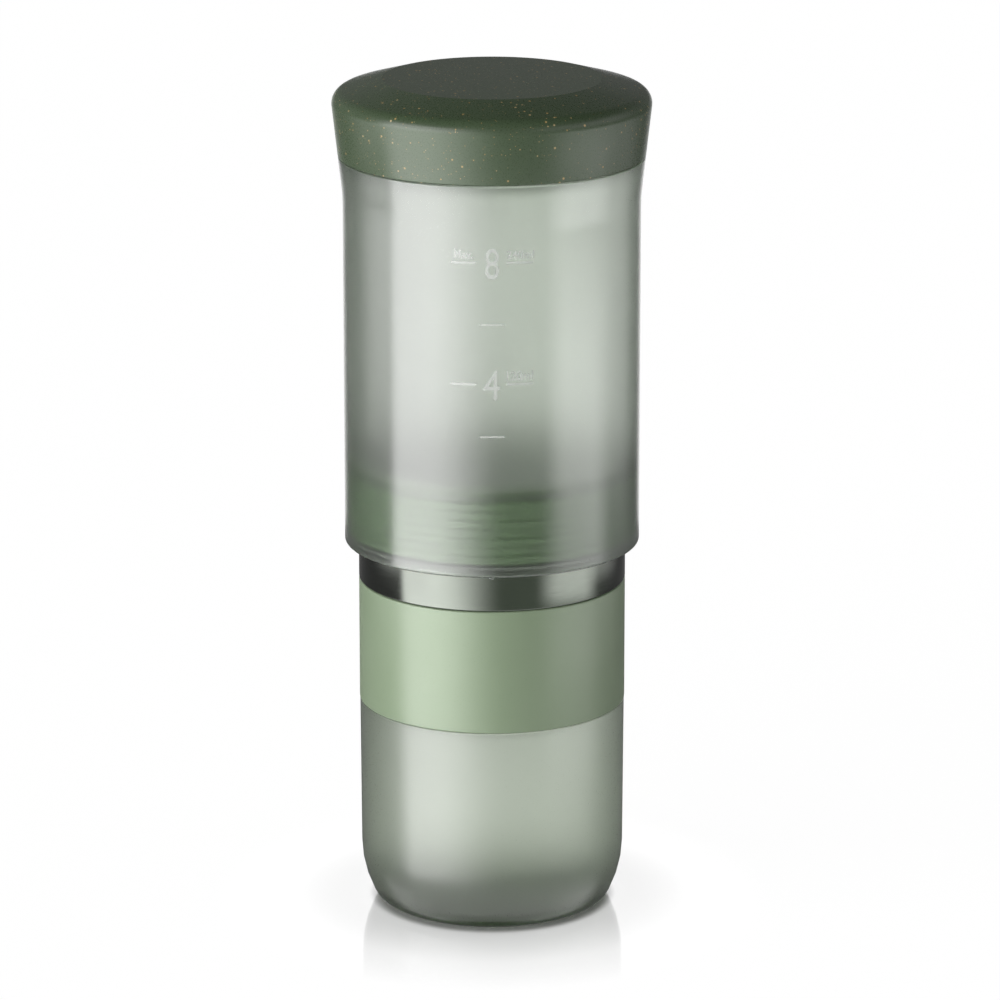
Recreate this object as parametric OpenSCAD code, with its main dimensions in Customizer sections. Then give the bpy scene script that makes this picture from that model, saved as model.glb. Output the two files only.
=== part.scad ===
// Portable press coffee brewer: a graduated water chamber slides down over a steel press tube,
// whose ribbed piston pushes the water through a coffee basket into the serving cup below.
// Millimetres, +Z up, origin at the centre of the cup's foot.

/* [Serving cup] */
// Height of the bare cup wall, from the table to the grip band
cup_h = 54; // [45:0.5:80]
// Wall thickness of the cup
cup_wall = 2.2; // [1.6:0.1:3]
// Thickness of the cup's floor
cup_floor = 3.5; // [2.5:0.1:6]
// How far the cup's wall stands back from the grip band
cup_setback = 0.1; // [0:0.05:0.4]
// How far the cup's wall draws in from the grip band to the foot curve
cup_draft = 0.25; // [0:0.05:0.6]
// Radius of the long curve at the foot of the wall
cup_curve_r = 28; // [20:0.5:32]
// Angle that the long curve turns through
cup_curve_angle = 26.4; // [15:0.1:35]
// Radius of the small curve that meets the table
foot_r = 5.1; // [3:0.1:8]
// Diameter of the shallow recess under the foot
foot_recess_d = 44; // [30:1:46]
// Depth of the recess under the foot
foot_recess_h = 0.8; // [0.4:0.1:1.5]
// Height of the cone that eases the cup's bore in, behind the grip band's lower edge and under the neck
cup_ease_h = 4; // [3:0.5:8]
// Height of the cup's threaded neck above the grip band
cup_neck_h = 7.5; // [7:0.1:9]
// Wall thickness of the cup's neck
cup_neck_wall = 1.8; // [1.4:0.1:2.4]

/* [Grip band] */
// Height of the silicone grip band
band_h = 32; // [20:0.5:45]
// Thickness of the grip band
band_t = 1.6; // [1.2:0.1:2]

/* [Press tube] */
// Outside diameter of the steel press tube
tube_d = 68; // [60:0.5:80]
// Wall thickness of the steel tube
tube_wall = 0.8; // [0.6:0.1:1.2]
// Length of tube that shows below the raised chamber
tube_show = 9.9; // [8:0.1:14]
// Height of the tube's shoulder below the seal
tube_shoulder_h = 1.4; // [1:0.1:2]
// Wall thickness of the threaded collar inside the tube
collar_wall = 1.2; // [0.9:0.1:1.6]
// How far the collar stands above the cup's neck
collar_over = 0.7; // [0.3:0.1:0.9]
// Thickness of the vented washer under the collar
washer_t = 1; // [0.8:0.1:1.4]
// Width of each vent notch in the washer
vent_w = 3; // [2:0.5:5]
// Depth of each vent notch in the washer
vent_h = 0.5; // [0.3:0.1:0.7]

/* [Piston seal] */
// Height of the ribbed piston seal
seal_h = 16.5; // [15:0.1:20]
// Thickness of the seal between its ribs
seal_wall = 1.35; // [1:0.05:2.2]
// Number of ribs round the seal
seal_ribs = 4; // [3:1:5]
// How far each rib stands out
seal_rib_h = 1.1; // [0.4:0.1:1.4]
// Width of a rib where it leaves the seal
seal_rib_w = 2.8; // [2:0.1:3]
// Width of a rib at its crest
seal_crest_w = 1.6; // [0.8:0.1:1.8]
// Thickness of the seal's inward lip over the tube's end
seal_lip_t = 1.5; // [1:0.1:2]

/* [Coffee basket] */
// Wall thickness of the steel basket
basket_wall = 0.6; // [0.5:0.1:1]
// Gap between the basket and the tube round it
basket_gap = 0.7; // [0.5:0.1:1]
// Clear height between the cup's neck and the basket
basket_clear = 1.5; // [1:0.1:3]
// Width of the ledge that carries the filter disc
basket_ledge_w = 4; // [3:0.5:6]
// How far the basket's flange reaches over the tube's end
basket_flange_w = 0.6; // [0.4:0.1:0.9]
// Thickness of the filter disc
filter_t = 0.4; // [0.3:0.1:0.8]
// Diameter of the filter disc's holes
filter_hole_d = 1.2; // [0.8:0.1:1.6]
// Height of the ring that holds the filter disc down
retainer_h = 1; // [0.8:0.1:1.5]
// Width of the ring that holds the filter disc down
retainer_w = 2; // [1.5:0.1:2.8]

/* [Screen cap] */
// Thickness of the perforated shower screen
screen_t = 0.6; // [0.5:0.1:1]
// Diameter of the screen's holes
screen_hole_d = 1.8; // [1.2:0.1:2.2]
// Rings of holes round the centre hole, in screen and filter
hole_rings = 5; // [3:1:5]
// Plain margin round the holes
hole_margin = 2; // [1.5:0.1:4]
// Thickness of the gasket under the screen cap
screen_gasket_t = 0.8; // [0.6:0.1:1.2]
// Thickness of the screen cap's flange
cap_flange_t = 1.5; // [1.2:0.1:2]
// Wall thickness of the screen cap's skirt
cap_wall = 1.2; // [1:0.1:1.6]
// Depth of the screen cap's skirt inside the basket
cap_skirt_h = 4.6; // [4:0.1:6]
// Width of the ledge that carries the screen
cap_ledge_w = 1.6; // [1.2:0.1:2.5]
// Thickness of the ledge that carries the screen
cap_ledge_t = 1.2; // [1:0.1:1.6]
// Gap between the screen cap and the chamber's neck, when fully pressed
cap_clear = 0.5; // [0.3:0.05:0.8]
// How far the locking lugs reach out towards the basket
lug_reach = 0.8; // [0.6:0.1:1]
// Thickness of the locking lugs
lug_t = 0.8; // [0.6:0.1:1]
// Angle that one locking lug covers
lug_angle = 20; // [14:1:28]
// Angle that one basket tab covers
tab_angle = 24; // [14:1:28]
// Height of the two finger ears on the screen cap
ear_h = 1.7; // [1:0.1:2.5]
// Width of a finger ear
ear_w = 2.8; // [2:0.1:3.2]
// Angle that one finger ear covers
ear_angle = 30; // [20:1:50]

/* [Water chamber] */
// Height of the chamber from its lower rim to the lid
chamber_h = 99.7; // [80:0.1:130]
// Wall thickness of the chamber
chamber_wall = 2.2; // [1.6:0.1:3]
// Gap between the press tube and the chamber's bore, which the seal fills
chamber_gap = 1.3; // [1:0.05:1.6]
// Gap between the press tube and the chamber's lower lip
lip_gap = 0.45; // [0.3:0.05:0.7]
// Height of the straight lip at the chamber's lower rim
lip_h = 1.3; // [1:0.1:3]
// Height of the cone above the lip, which stops the seal
lip_cone_h = 1; // [0.8:0.1:2.5]
// Outer corner radius of the chamber's lower rim
rim_r = 0.6; // [0.4:0.1:2]
// Width of the small nub on the front of the rim
nub_w = 1.2; // [0.8:0.1:2]
// How far the nub stands below the rim
nub_h = 0.4; // [0.2:0.1:1]
// Thickness of the nub, from front to back
nub_t = 1.4; // [0.8:0.1:2]
// Angle of the flare below the lid, which the lid's side continues
flare_angle = 6.4; // [3:0.1:8]
// Height of the flare
flare_h = 12.7; // [10:0.1:18]
// Radius of the bend where the flare begins
flare_r = 45; // [20:1:60]
// Height of the inner cone below the chamber's neck
neck_cone_h = 2.6; // [2:0.1:4]
// Height of the chamber's threaded neck inside the lid
lid_neck_h = 10; // [9.5:0.1:11]
// Wall thickness of the chamber's neck
lid_neck_wall = 2.1; // [1.6:0.1:2.6]

/* [Lid] */
// Thickness of the lid's side at its lower edge
lid_wall = 1.3; // [1:0.1:1.8]
// Height of the lid's side, from its lower edge to the centre of the shoulder
lid_side_h = 13.1; // [13:0.1:18]
// Radius of the lid's shoulder
lid_shoulder_r = 3.6; // [2:0.1:4.5]
// Slope of the ring between the shoulder and the flat top
lid_slope = 15.7; // [8:0.1:20]
// Diameter of the lid's flat top
lid_flat_d = 55; // [40:0.5:62]
// Thickness of the lid's top
lid_top_t = 2; // [1.5:0.1:2.5]
// Width and height of the step inside the lid that presses on the liner
lid_step = 1.6; // [1.2:0.1:2]
// Outside diameter of the round rib under the lid's top
lid_rib_d = 27; // [16:0.5:36]
// Thickness of the round rib under the lid's top
lid_rib_t = 1.6; // [1.2:0.1:2.4]
// Wall thickness of the threaded liner inside the lid
liner_wall = 1; // [0.8:0.1:1.4]
// Thickness of the liner's plate
liner_t = 1.6; // [1.2:0.1:2]
// How far the liner's edge stays above the lid's edge
liner_setback = 1.2; // [0.8:0.1:1.6]
// Thickness of the lid's gasket
gasket_t = 1.6; // [1.2:0.1:2]
// Width of the lid's gasket
gasket_w = 2.4; // [2:0.1:2.8]

/* [Threads and fits] */
// Rise of a thread in one turn, with two ridges side by side
thread_lead = 6; // [5.6:0.1:6.4]
// Depth of the lid's thread
lid_thread_d = 0.9; // [0.7:0.05:1.1]
// Depth of the cup's thread
cup_thread_d = 0.8; // [0.6:0.05:1]
// Bare length of a neck below its thread
thread_start = 1.5; // [1.3:0.1:2]
// Bare length of a neck above its thread
thread_end = 1.2; // [1:0.1:1.6]
// Clearance between mating threads
thread_gap = 0.2; // [0.15:0.05:0.3]
// Clearance between the seal's ribs and the chamber's bore
seal_gap = 0.1; // [0.05:0.05:0.2]
// Clearance between pieces that are fitted to each other
fit = 0.05; // [0.02:0.01:0.1]
// Open seam where one moving piece rests above another
seam = 0.2; // [0.1:0.05:0.4]
// Radius of small moulded edges
edge_r = 0.4; // [0.2:0.05:0.5]

/* [Hidden] */
$fn = 96;

// A thread ridge: its widths at the wall and the crest, the slack on its flanks, its sink into the wall,
// and how its ends grow to full depth
ridge_slack = 0.6;
ridge_root = thread_lead / 4 + ridge_slack / 6;
ridge_crest = thread_lead / 4 - ridge_slack - ridge_slack / 6;
ridge_sink = 0.3;
ridge_step = 10;
ridge_end = 0.35;
ridge_growth = 0.25;
// Added to a cut so that it runs past the face
over = 1;

// Radii from the press tube inwards to the cup's neck
tube_r = tube_d / 2;
tube_bore = tube_r - tube_wall;
band_seat_r = tube_r - band_t;
cup_r = tube_r - cup_setback;
cup_bore = band_seat_r - cup_wall;
collar_r = tube_bore - fit;
collar_bore = collar_r - collar_wall;
cup_crest = collar_bore - thread_gap;
cup_neck_r = cup_crest - cup_thread_d;
cup_mouth = cup_neck_r - cup_neck_wall;
washer_bore = cup_crest + thread_gap;

// Radii from the press tube outwards to the chamber and the lid
chamber_bore = tube_r + chamber_gap;
chamber_r = chamber_bore + chamber_wall;
lip_bore = tube_r + lip_gap;
flare_bend_h = flare_r * sin(flare_angle);
flare_top_r = chamber_r + flare_r * (1 - cos(flare_angle)) + (flare_h - flare_bend_h) * tan(flare_angle);
lid_edge_r = flare_top_r + seam * tan(flare_angle);
lid_bore = lid_edge_r - lid_wall;
liner_r = lid_bore - fit;
liner_bore = liner_r - liner_wall;
lid_crest = liner_bore - thread_gap;
lid_neck_r = lid_crest - lid_thread_d;
lid_mouth = lid_neck_r - lid_neck_wall;

// Radii from the chamber's bore inwards to the seal, the basket and the screen cap
rib_r = chamber_bore - seal_gap;
seal_r = rib_r - seal_rib_h;
tube_top_r = seal_r - seal_wall - fit;
tube_top_bore = tube_top_r - tube_wall;
basket_r = tube_top_bore - basket_gap;
basket_bore = basket_r - basket_wall;
basket_flange_r = tube_top_r + basket_flange_w;
filter_r = basket_bore - fit;
cap_skirt_r = basket_bore - lug_reach;
cap_bore = cap_skirt_r - cap_wall;
cap_ledge_bore = cap_bore - cap_ledge_w;
cap_flange_r = lid_mouth - cap_clear;
screen_r = cap_bore - fit;

// Heights from the table up to the chamber's rim
cup_curve_z = (cup_curve_r - foot_r) * sin(cup_curve_angle) + foot_r;
band_z = cup_h;
band_top = band_z + band_h;
cup_neck_top = band_top + cup_neck_h;
washer_z = band_top + seam / 2;
tube_z = band_top + seam;
collar_z = washer_z + washer_t + seam / 2;
collar_top = cup_neck_top + collar_over;
rim_z = band_top + tube_show;

// Heights of the seal, the basket and the screen cap
seal_z = rim_z + lip_h + lip_cone_h + seam;
seal_top = seal_z + seal_h;
tube_shoulder = seal_z - fit;
tube_top = seal_top - seal_lip_t - fit;
flange_z = seal_top + fit;
flange_top = flange_z + basket_wall;
basket_z = cup_neck_top + basket_clear;
filter_z = basket_z + basket_wall + fit;
retainer_z = filter_z + filter_t + fit;
screen_gasket_z = flange_top + fit;
cap_z = screen_gasket_z + screen_gasket_t + fit;
cap_top = cap_z + cap_flange_t;
cap_skirt_z = cap_z - cap_skirt_h;
tab_z = cap_skirt_z + lug_t + seam;
screen_z = cap_skirt_z + cap_ledge_t + fit;

// Heights of the chamber's neck and the lid
lid_z = rim_z + chamber_h;
neck_cone_z = lid_z - neck_cone_h;
lid_neck_top = lid_z + lid_neck_h;
lid_edge_z = lid_z + seam;
gasket_z = lid_neck_top + seam / 2;
liner_z = gasket_z + gasket_t + seam / 2;
liner_top = liner_z + liner_t;
liner_edge_z = lid_edge_z + liner_setback;

// Lid shoulder, sloped ring and flat top
lid_shoulder_z = lid_edge_z + lid_side_h;
lid_shoulder_x = lid_edge_r + lid_side_h * tan(flare_angle) - lid_shoulder_r / cos(flare_angle);
lid_slope_r = lid_shoulder_x + lid_shoulder_r * sin(lid_slope);
lid_slope_z = lid_shoulder_z + lid_shoulder_r * cos(lid_slope);
lid_flat_r = lid_flat_d / 2;
lid_top = lid_slope_z + (lid_slope_r - lid_flat_r) * tan(lid_slope);

// Threads: height of the first ridge and turns of each ridge
cup_ridge_z = collar_z + thread_start;
cup_ridge_turns = (cup_neck_top - thread_end - cup_ridge_z) / thread_lead;
lid_ridge_z = lid_z + thread_start;
lid_ridge_turns = (lid_neck_top - thread_end - lid_ridge_z) / thread_lead;

// The chamber goes down until the seal's top reaches the cone below its neck
press_stroke = neck_cone_z - seal_top;
echo(press_stroke = press_stroke, height = lid_top, lid_d = 2 * (lid_shoulder_x + lid_shoulder_r));

// Points along an arc of radius r about c, from angle a0 to a1
function arc(c, r, a0, a1, n = 8) = [
    for (i = [0:n])
    let (a = a0 + (a1 - a0) * i / n)
    c + r * [cos(a), sin(a)]
];

// Outline of the cup's foot and long curve, drawn in from the outside by inset and raised by lift
function cup_foot(inset, lift) =
    let (curve_r = cup_curve_r - inset, small_r = max(foot_r - inset, edge_r))
    let (c = [cup_r - cup_draft - cup_curve_r, cup_curve_z + lift])
    let (small_c = c + (curve_r - small_r) * [cos(cup_curve_angle), -sin(cup_curve_angle)])
    concat(
        [[0, small_c.y - small_r]],
        arc(small_c, small_r, -90, -cup_curve_angle, 6),
        arc(c, curve_r, -cup_curve_angle, 0, 10)
    );

// Rounded top of a neck with wall w, from its outer radius r over to its bore
function neck_lip(r, w, top) = arc([r - w / 2, top - w / 2], w / 2, 0, 180);

module spin(points) rotate_extrude() polygon(points);

module ring(r_out, r_in, z, h) {
    difference() {
        translate([0, 0, z]) cylinder(r = r_out, h = h);
        translate([0, 0, z - over]) cylinder(r = r_in, h = h + 2 * over);
    }
}

// A part of a ring, centred on angle 0
module ring_sector(r_out, r_in, z, h, angle) {
    rotate([0, 0, -angle / 2])
        translate([0, 0, z])
            rotate_extrude(angle = angle) translate([r_in, 0]) square([r_out - r_in, h]);
}

// Copies round the axis
module around(count, first = 0) {
    for (i = [0:count - 1]) rotate([0, 0, first + i * 360 / count]) children();
}

// One helical ridge on a round wall. A positive depth stands outwards and a negative one inwards.
module helical_ridge(wall_r, depth, z, turns) {
    side = sign(depth);
    steps = ceil(turns * 360 / ridge_step);
    points = [
        for (i = [0:steps])
        let (a = i * turns * 360 / steps, rise = z + i * turns * thread_lead / steps)
        let (grown = min(1, ridge_end + ridge_growth * min(i, steps - i)))
        for (p = [
            [wall_r - side * ridge_sink, -ridge_root / 2],
            [wall_r + depth * grown, -ridge_crest / 2],
            [wall_r + depth * grown, ridge_crest / 2],
            [wall_r - side * ridge_sink, ridge_root / 2]
        ])
        [p.x * cos(a), p.x * sin(a), rise + p.y]
    ];
    last = 4 * steps;
    outward = concat(
        [[0, 3, 2], [0, 2, 1], [last, last + 1, last + 2], [last, last + 2, last + 3]],
        [
            for (i = [0:steps - 1], j = [0:3])
            let (a = 4 * i + j, b = 4 * i + (j + 1) % 4)
            each [[a, b, b + 4], [a, b + 4, a + 4]]
        ]
    );
    faces = side > 0 ? outward : [for (f = outward) [f[2], f[1], f[0]]];
    polyhedron(points, faces);
}

module thread(wall_r, depth, z, turns) {
    around(2) helical_ridge(wall_r, depth, z, turns);
}

// Holes out to a radius of reach, on rings round a centre hole, six more on each ring
module hole_field(reach, hole_d, z, h) {
    for (k = [0:hole_rings])
        around(max(1, 6 * k))
            translate([reach * k / hole_rings, 0, z - over]) cylinder(d = hole_d, h = h + 2 * over, $fn = 24);
}

module serving_cup() {
    outside = concat(
        cup_foot(0, 0),
        [[cup_r, band_z], [band_seat_r, band_z], [band_seat_r, band_top], [cup_neck_r, band_top]],
        neck_lip(cup_neck_r, cup_neck_wall, cup_neck_top)
    );
    neck_inside = [
        [cup_mouth, band_top],
        [cup_bore, band_top - cup_ease_h],
        [cup_bore, band_z + cup_ease_h / 2],
        [cup_r - cup_wall, band_z - cup_ease_h / 2]
    ];
    inside = cup_foot(cup_wall, cup_floor - cup_wall);
    inside_down = [for (i = [len(inside) - 1:-1:0]) inside[i]];
    color("#aeb8aa")
        difference() {
            union() {
                spin(concat(outside, neck_inside, inside_down));
                thread(cup_neck_r, cup_thread_d, cup_ridge_z, cup_ridge_turns);
            }
            translate([0, 0, -over]) cylinder(d = foot_recess_d, h = foot_recess_h + over);
        }
}

module grip_band() {
    seat = band_seat_r + fit;
    low = band_z + fit;
    color("#93a787")
        spin(concat(
            [[seat, low]],
            arc([tube_r - edge_r, low + edge_r], edge_r, -90, 0, 4),
            arc([tube_r - edge_r, band_top - edge_r], edge_r, 0, 90, 4),
            [[seat, band_top]]
        ));
}

module vent_washer() {
    color("#8fa383")
        difference() {
            ring(collar_r, washer_bore, washer_z, washer_t);
            around(4) translate([0, -vent_w / 2, washer_z - over]) cube([tube_r, vent_w, vent_h + over]);
        }
}

module press_tube() {
    color("#9fa19e")
        spin([
            [tube_bore, tube_z],
            [tube_r, tube_z],
            [tube_r, tube_shoulder - tube_shoulder_h],
            [tube_top_r, tube_shoulder],
            [tube_top_r, tube_top],
            [tube_top_bore, tube_top],
            [tube_top_bore, tube_shoulder - tube_wall],
            [tube_bore, tube_shoulder - tube_shoulder_h - tube_wall]
        ]);
}

module tube_collar() {
    turns = cup_ridge_turns - ridge_step / 360;
    color("#adb1ab") {
        ring(collar_r, collar_bore, collar_z, collar_top - collar_z);
        thread(collar_bore, -cup_thread_d, cup_ridge_z + thread_lead / 4, turns);
    }
}

module piston_seal() {
    pitch = (seal_h - seal_rib_w) / (seal_ribs - 1);
    foot = seal_rib_w / 2;
    crest = seal_crest_w / 2;
    ribs = [
        for (i = [0:seal_ribs - 1])
        let (z = seal_z + foot + i * pitch)
        each [[seal_r, z - foot], [rib_r, z - crest], [rib_r, z + crest], [seal_r, z + foot]]
    ];
    seat = tube_top_r + fit;
    lip_bore = basket_r + fit;
    lip_z = seal_top - seal_lip_t;
    lip = [[lip_bore, seal_top], [lip_bore, lip_z], [seat, lip_z]];
    color("#7d9470") spin(concat([[seat, seal_z]], ribs, lip));
}

module coffee_basket() {
    ledge_bore = basket_bore - basket_ledge_w;
    color("#a9aca9") {
        spin([
            [ledge_bore, basket_z],
            [basket_r, basket_z],
            [basket_r, flange_z],
            [basket_flange_r, flange_z],
            [basket_flange_r, flange_top],
            [basket_bore, flange_top],
            [basket_bore, basket_z + basket_wall],
            [ledge_bore, basket_z + basket_wall]
        ]);
        around(3, 30)
            ring_sector(basket_r - basket_wall / 2, cap_skirt_r + 2 * fit, tab_z, basket_wall, tab_angle);
    }
}

module basket_filter() {
    reach = basket_bore - basket_ledge_w - hole_margin;
    color("#8d918d")
        difference() {
            translate([0, 0, filter_z]) cylinder(r = filter_r, h = filter_t);
            hole_field(reach, filter_hole_d, filter_z, filter_t);
        }
}

module filter_retainer() {
    color("#7d9470") ring(filter_r, filter_r - retainer_w, retainer_z, retainer_h);
}

module screen_gasket() {
    color("#7d9470") ring(cap_flange_r, basket_bore + fit, screen_gasket_z, screen_gasket_t);
}

module screen_cap() {
    ear_r = cap_flange_r - edge_r;
    root = cap_flange_t / 2;
    color("#888b86") {
        spin([
            [cap_ledge_bore, cap_skirt_z],
            [cap_skirt_r, cap_skirt_z],
            [cap_skirt_r, cap_z],
            [cap_flange_r, cap_z],
            [cap_flange_r, cap_top],
            [cap_bore, cap_top],
            [cap_bore, screen_z - fit],
            [cap_ledge_bore, screen_z - fit]
        ]);
        around(3, 30)
            ring_sector(basket_bore - 2 * fit, cap_skirt_r - cap_wall / 2, cap_skirt_z, lug_t, lug_angle);
        around(2)
            ring_sector(ear_r, ear_r - ear_w, cap_z + root, ear_h + cap_flange_t - root, ear_angle);
    }
}

module shower_screen() {
    color("#9a9e9a")
        difference() {
            translate([0, 0, screen_z]) cylinder(r = screen_r, h = screen_t);
            hole_field(cap_ledge_bore - hole_margin, screen_hole_d, screen_z, screen_t);
        }
}

module water_chamber() {
    lip_top = rim_z + lip_h;
    bend = [chamber_r + flare_r, lid_z - flare_h];
    color("#c3cbbf") {
        spin(concat(
            [[lip_bore, lip_top], [lip_bore, rim_z + edge_r], [lip_bore + edge_r, rim_z]],
            arc([chamber_r - rim_r, rim_z + rim_r], rim_r, -90, 0),
            arc(bend, flare_r, 180, 180 - flare_angle, 5),
            [[flare_top_r, lid_z], [lid_neck_r, lid_z]],
            neck_lip(lid_neck_r, lid_neck_wall, lid_neck_top),
            [[lid_mouth, lid_z], [chamber_bore, neck_cone_z], [chamber_bore, lip_top + lip_cone_h]]
        ));
        thread(lid_neck_r, lid_thread_d, lid_ridge_z, lid_ridge_turns);
        translate([-nub_w / 2, rim_r / 2 - chamber_r, rim_z - nub_h]) cube([nub_w, nub_t, nub_h + rim_r]);
    }
}

module lid_gasket() {
    middle = lid_neck_r - lid_neck_wall / 2;
    color("#8fa383") ring(middle + gasket_w / 2, middle - gasket_w / 2, gasket_z, gasket_t);
}

module lid_liner() {
    turns = lid_ridge_turns - ridge_step / 360;
    color("#adb1ab") {
        spin([
            [0, liner_z],
            [liner_bore, liner_z],
            [liner_bore, liner_edge_z],
            [liner_r, liner_edge_z],
            [liner_r, liner_top],
            [0, liner_top]
        ]);
        thread(liner_bore, -lid_thread_d, lid_ridge_z + thread_lead / 4, turns);
    }
}

module lid_cap() {
    seat_z = liner_top + fit;
    seat_r = liner_r - lid_step;
    under = lid_top - lid_top_t;
    slope_run = (under - seat_z - lid_step) / tan(lid_slope);
    rib_r = lid_rib_d / 2;
    color("#3f4b3a") {
        spin(concat(
            [[lid_bore, lid_edge_z + edge_r], [lid_bore + edge_r, lid_edge_z]],
            arc([lid_edge_r - edge_r, lid_edge_z + edge_r], edge_r, -90, -flare_angle, 4),
            arc([lid_shoulder_x, lid_shoulder_z], lid_shoulder_r, -flare_angle, 90 - lid_slope),
            [
                [lid_flat_r, lid_top],
                [0, lid_top],
                [0, under],
                [seat_r - slope_run, under],
                [seat_r, seat_z + lid_step],
                [seat_r, seat_z],
                [lid_bore, seat_z]
            ]
        ));
        ring(rib_r, rib_r - lid_rib_t, seat_z, under - seat_z + lid_top_t / 2);
    }
}

serving_cup();
grip_band();
vent_washer();
press_tube();
tube_collar();
piston_seal();
coffee_basket();
basket_filter();
filter_retainer();
screen_gasket();
screen_cap();
shower_screen();
water_chamber();
lid_gasket();
lid_liner();
lid_cap();
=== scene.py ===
"""Looks of a portable press coffee brewer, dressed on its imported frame.

Lengths are in metres, +Z is up and the graduated side of the water chamber faces -Y.
"""

import logging
import math
from collections.abc import Sequence
from dataclasses import dataclass, replace
from enum import Enum

import bmesh
import bpy
from mathutils import Matrix, Vector


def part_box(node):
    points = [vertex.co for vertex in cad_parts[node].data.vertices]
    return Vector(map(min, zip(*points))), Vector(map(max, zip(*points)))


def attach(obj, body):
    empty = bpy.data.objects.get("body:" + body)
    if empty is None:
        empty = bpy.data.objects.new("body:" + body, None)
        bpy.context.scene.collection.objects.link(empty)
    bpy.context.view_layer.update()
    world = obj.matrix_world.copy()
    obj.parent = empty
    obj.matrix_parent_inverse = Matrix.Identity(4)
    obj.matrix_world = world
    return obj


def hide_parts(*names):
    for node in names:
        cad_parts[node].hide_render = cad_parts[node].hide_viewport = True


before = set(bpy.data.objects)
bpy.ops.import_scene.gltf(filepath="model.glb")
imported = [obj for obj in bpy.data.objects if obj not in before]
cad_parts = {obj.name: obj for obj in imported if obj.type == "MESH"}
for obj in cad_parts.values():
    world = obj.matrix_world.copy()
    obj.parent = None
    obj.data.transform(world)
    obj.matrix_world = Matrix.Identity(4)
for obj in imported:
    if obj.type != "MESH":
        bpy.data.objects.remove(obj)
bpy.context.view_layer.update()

LOG = logging.getLogger("press_brewer")

MM = 0.001
PER_MM = 1000.0
SPIN_STEPS = 192
ARC_STEP = math.radians(9)
SHARP_EDGE = math.radians(32)
MERGE_DISTANCE = 1e-7
BEVEL_SEGMENTS = 3
CARD_STEPS = 32
UP = Vector((0.0, 0.0, 1.0))

# Edge radii of moulded and pressed pieces
HAIR = 0.1 * MM
FINE = 0.15 * MM
CRISP = 0.2 * MM
PLAIN = 0.25 * MM
EASED = 0.3 * MM
SOFT = 0.4 * MM
ROUND = 0.5 * MM
# Share of a lip's wall that each of its two edges rounds off
LIP_SHARE = 0.49
# Where the basket's tabs and the screen cap's lugs lock
LOCK_ANGLES = tuple(math.radians(angle) for angle in (30, 150, 270))
# How much the strokes of small words are thickened, in the font's own unit
SMALL_WEIGHT = 0.02
# The middle range of a noise, which is spread out to its full contrast
NOISE_SPAN = (0.3, 0.7)
# Refraction of plastics and steel whose own isn't given
PLAIN_IOR = 1.5
# A panel that goes right round the studio, and edges too narrow to show, in degrees
ALL_ROUND = (-181.0, 181.0)
NARROW_EDGES = (0.5, 0.5)
# Distance of most cards from the brewer
CARD_R = 0.9

Point = tuple[float, float]
Corner = tuple[float, float, float]
Colour = tuple[float, float, float]
Mesh = bmesh.types.BMesh
Socket = bpy.types.NodeSocket
Material = bpy.types.Material


class Body(Enum):
    """The moving bodies of the brewer."""

    CUP = "cup"
    PRESS_UNIT = "press_unit"
    SCREEN = "screen"
    CHAMBER = "chamber"
    GASKET = "gasket"
    LID = "lid"


class Slot(Enum):
    """Names of the record's material slots."""

    FROSTED_CHAMBER = "frosted_chamber"
    FROSTED_CUP = "frosted_cup"
    SPECKLED_LID = "speckled_lid"
    INNER_PLASTIC = "inner_plastic"
    CAP_PLASTIC = "cap_plastic"
    GRIP_SILICONE = "grip_silicone"
    SEAL_SILICONE = "seal_silicone"
    POLISHED_STEEL = "polished_steel"
    BASKET_STEEL = "basket_steel"


# Half sections and what is spun from them


def rounded(corners: Sequence[Corner]) -> list[Point]:
    """Rounds the corners of a half section.

    Args:
        corners: Radius, height and corner radius of each corner, in order round the solid. A section that
            starts and ends on the axis stays open there.

    Returns:
        The points of the rounded section.
    """
    points: list[Point] = []
    for i, (radius, height, corner_r) in enumerate(corners):
        here = Vector((radius, height))
        if corner_r <= 0.0 or radius <= 0.0:
            points.append((radius, height))
            continue
        before = (Vector(corners[i - 1][:2]) - here).normalized()
        after = (Vector(corners[(i + 1) % len(corners)][:2]) - here).normalized()
        half = before.angle(after) / 2
        turn = math.copysign(math.pi - 2 * half, after.cross(before))
        centre = here + (before + after).normalized() * (corner_r / math.sin(half))
        arm = here + before * (corner_r / math.tan(half)) - centre
        steps = max(2, math.ceil(abs(turn) / ARC_STEP))
        for step in range(steps + 1):
            at = centre + Matrix.Rotation(turn * step / steps, 2) @ arm
            points.append((at.x, at.y))
    return points


def ring_corners(outer: float, inner: float, low: float, high: float, edge: float) -> list[Corner]:
    """Corners of a plain ring.

    Args:
        outer: Outer radius.
        inner: Inner radius.
        low: Height of its lower face.
        high: Height of its upper face.
        edge: Radius of its four edges.

    Returns:
        The corners, ready to be rounded.
    """
    return [(inner, low, edge), (outer, low, edge), (outer, high, edge), (inner, high, edge)]


def section_loop(mesh: Mesh, section: Sequence[Point], angle: float = 0.0) -> tuple[list, list]:
    """Draws a half section at an angle round the axis.

    Args:
        mesh: The mesh to draw in.
        section: Radius and height of each point.
        angle: Angle round +Z, from +X.

    Returns:
        The vertices and the edges drawn.
    """
    across = Vector((math.cos(angle), math.sin(angle), 0.0))
    verts = [mesh.verts.new(across * radius + UP * height) for radius, height in section]
    open_at_axis = section[0][0] == 0.0 and section[-1][0] == 0.0
    following = verts[1:] if open_at_axis else verts[1:] + verts[:1]
    return verts, [mesh.edges.new(pair) for pair in zip(verts, following)]


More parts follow.
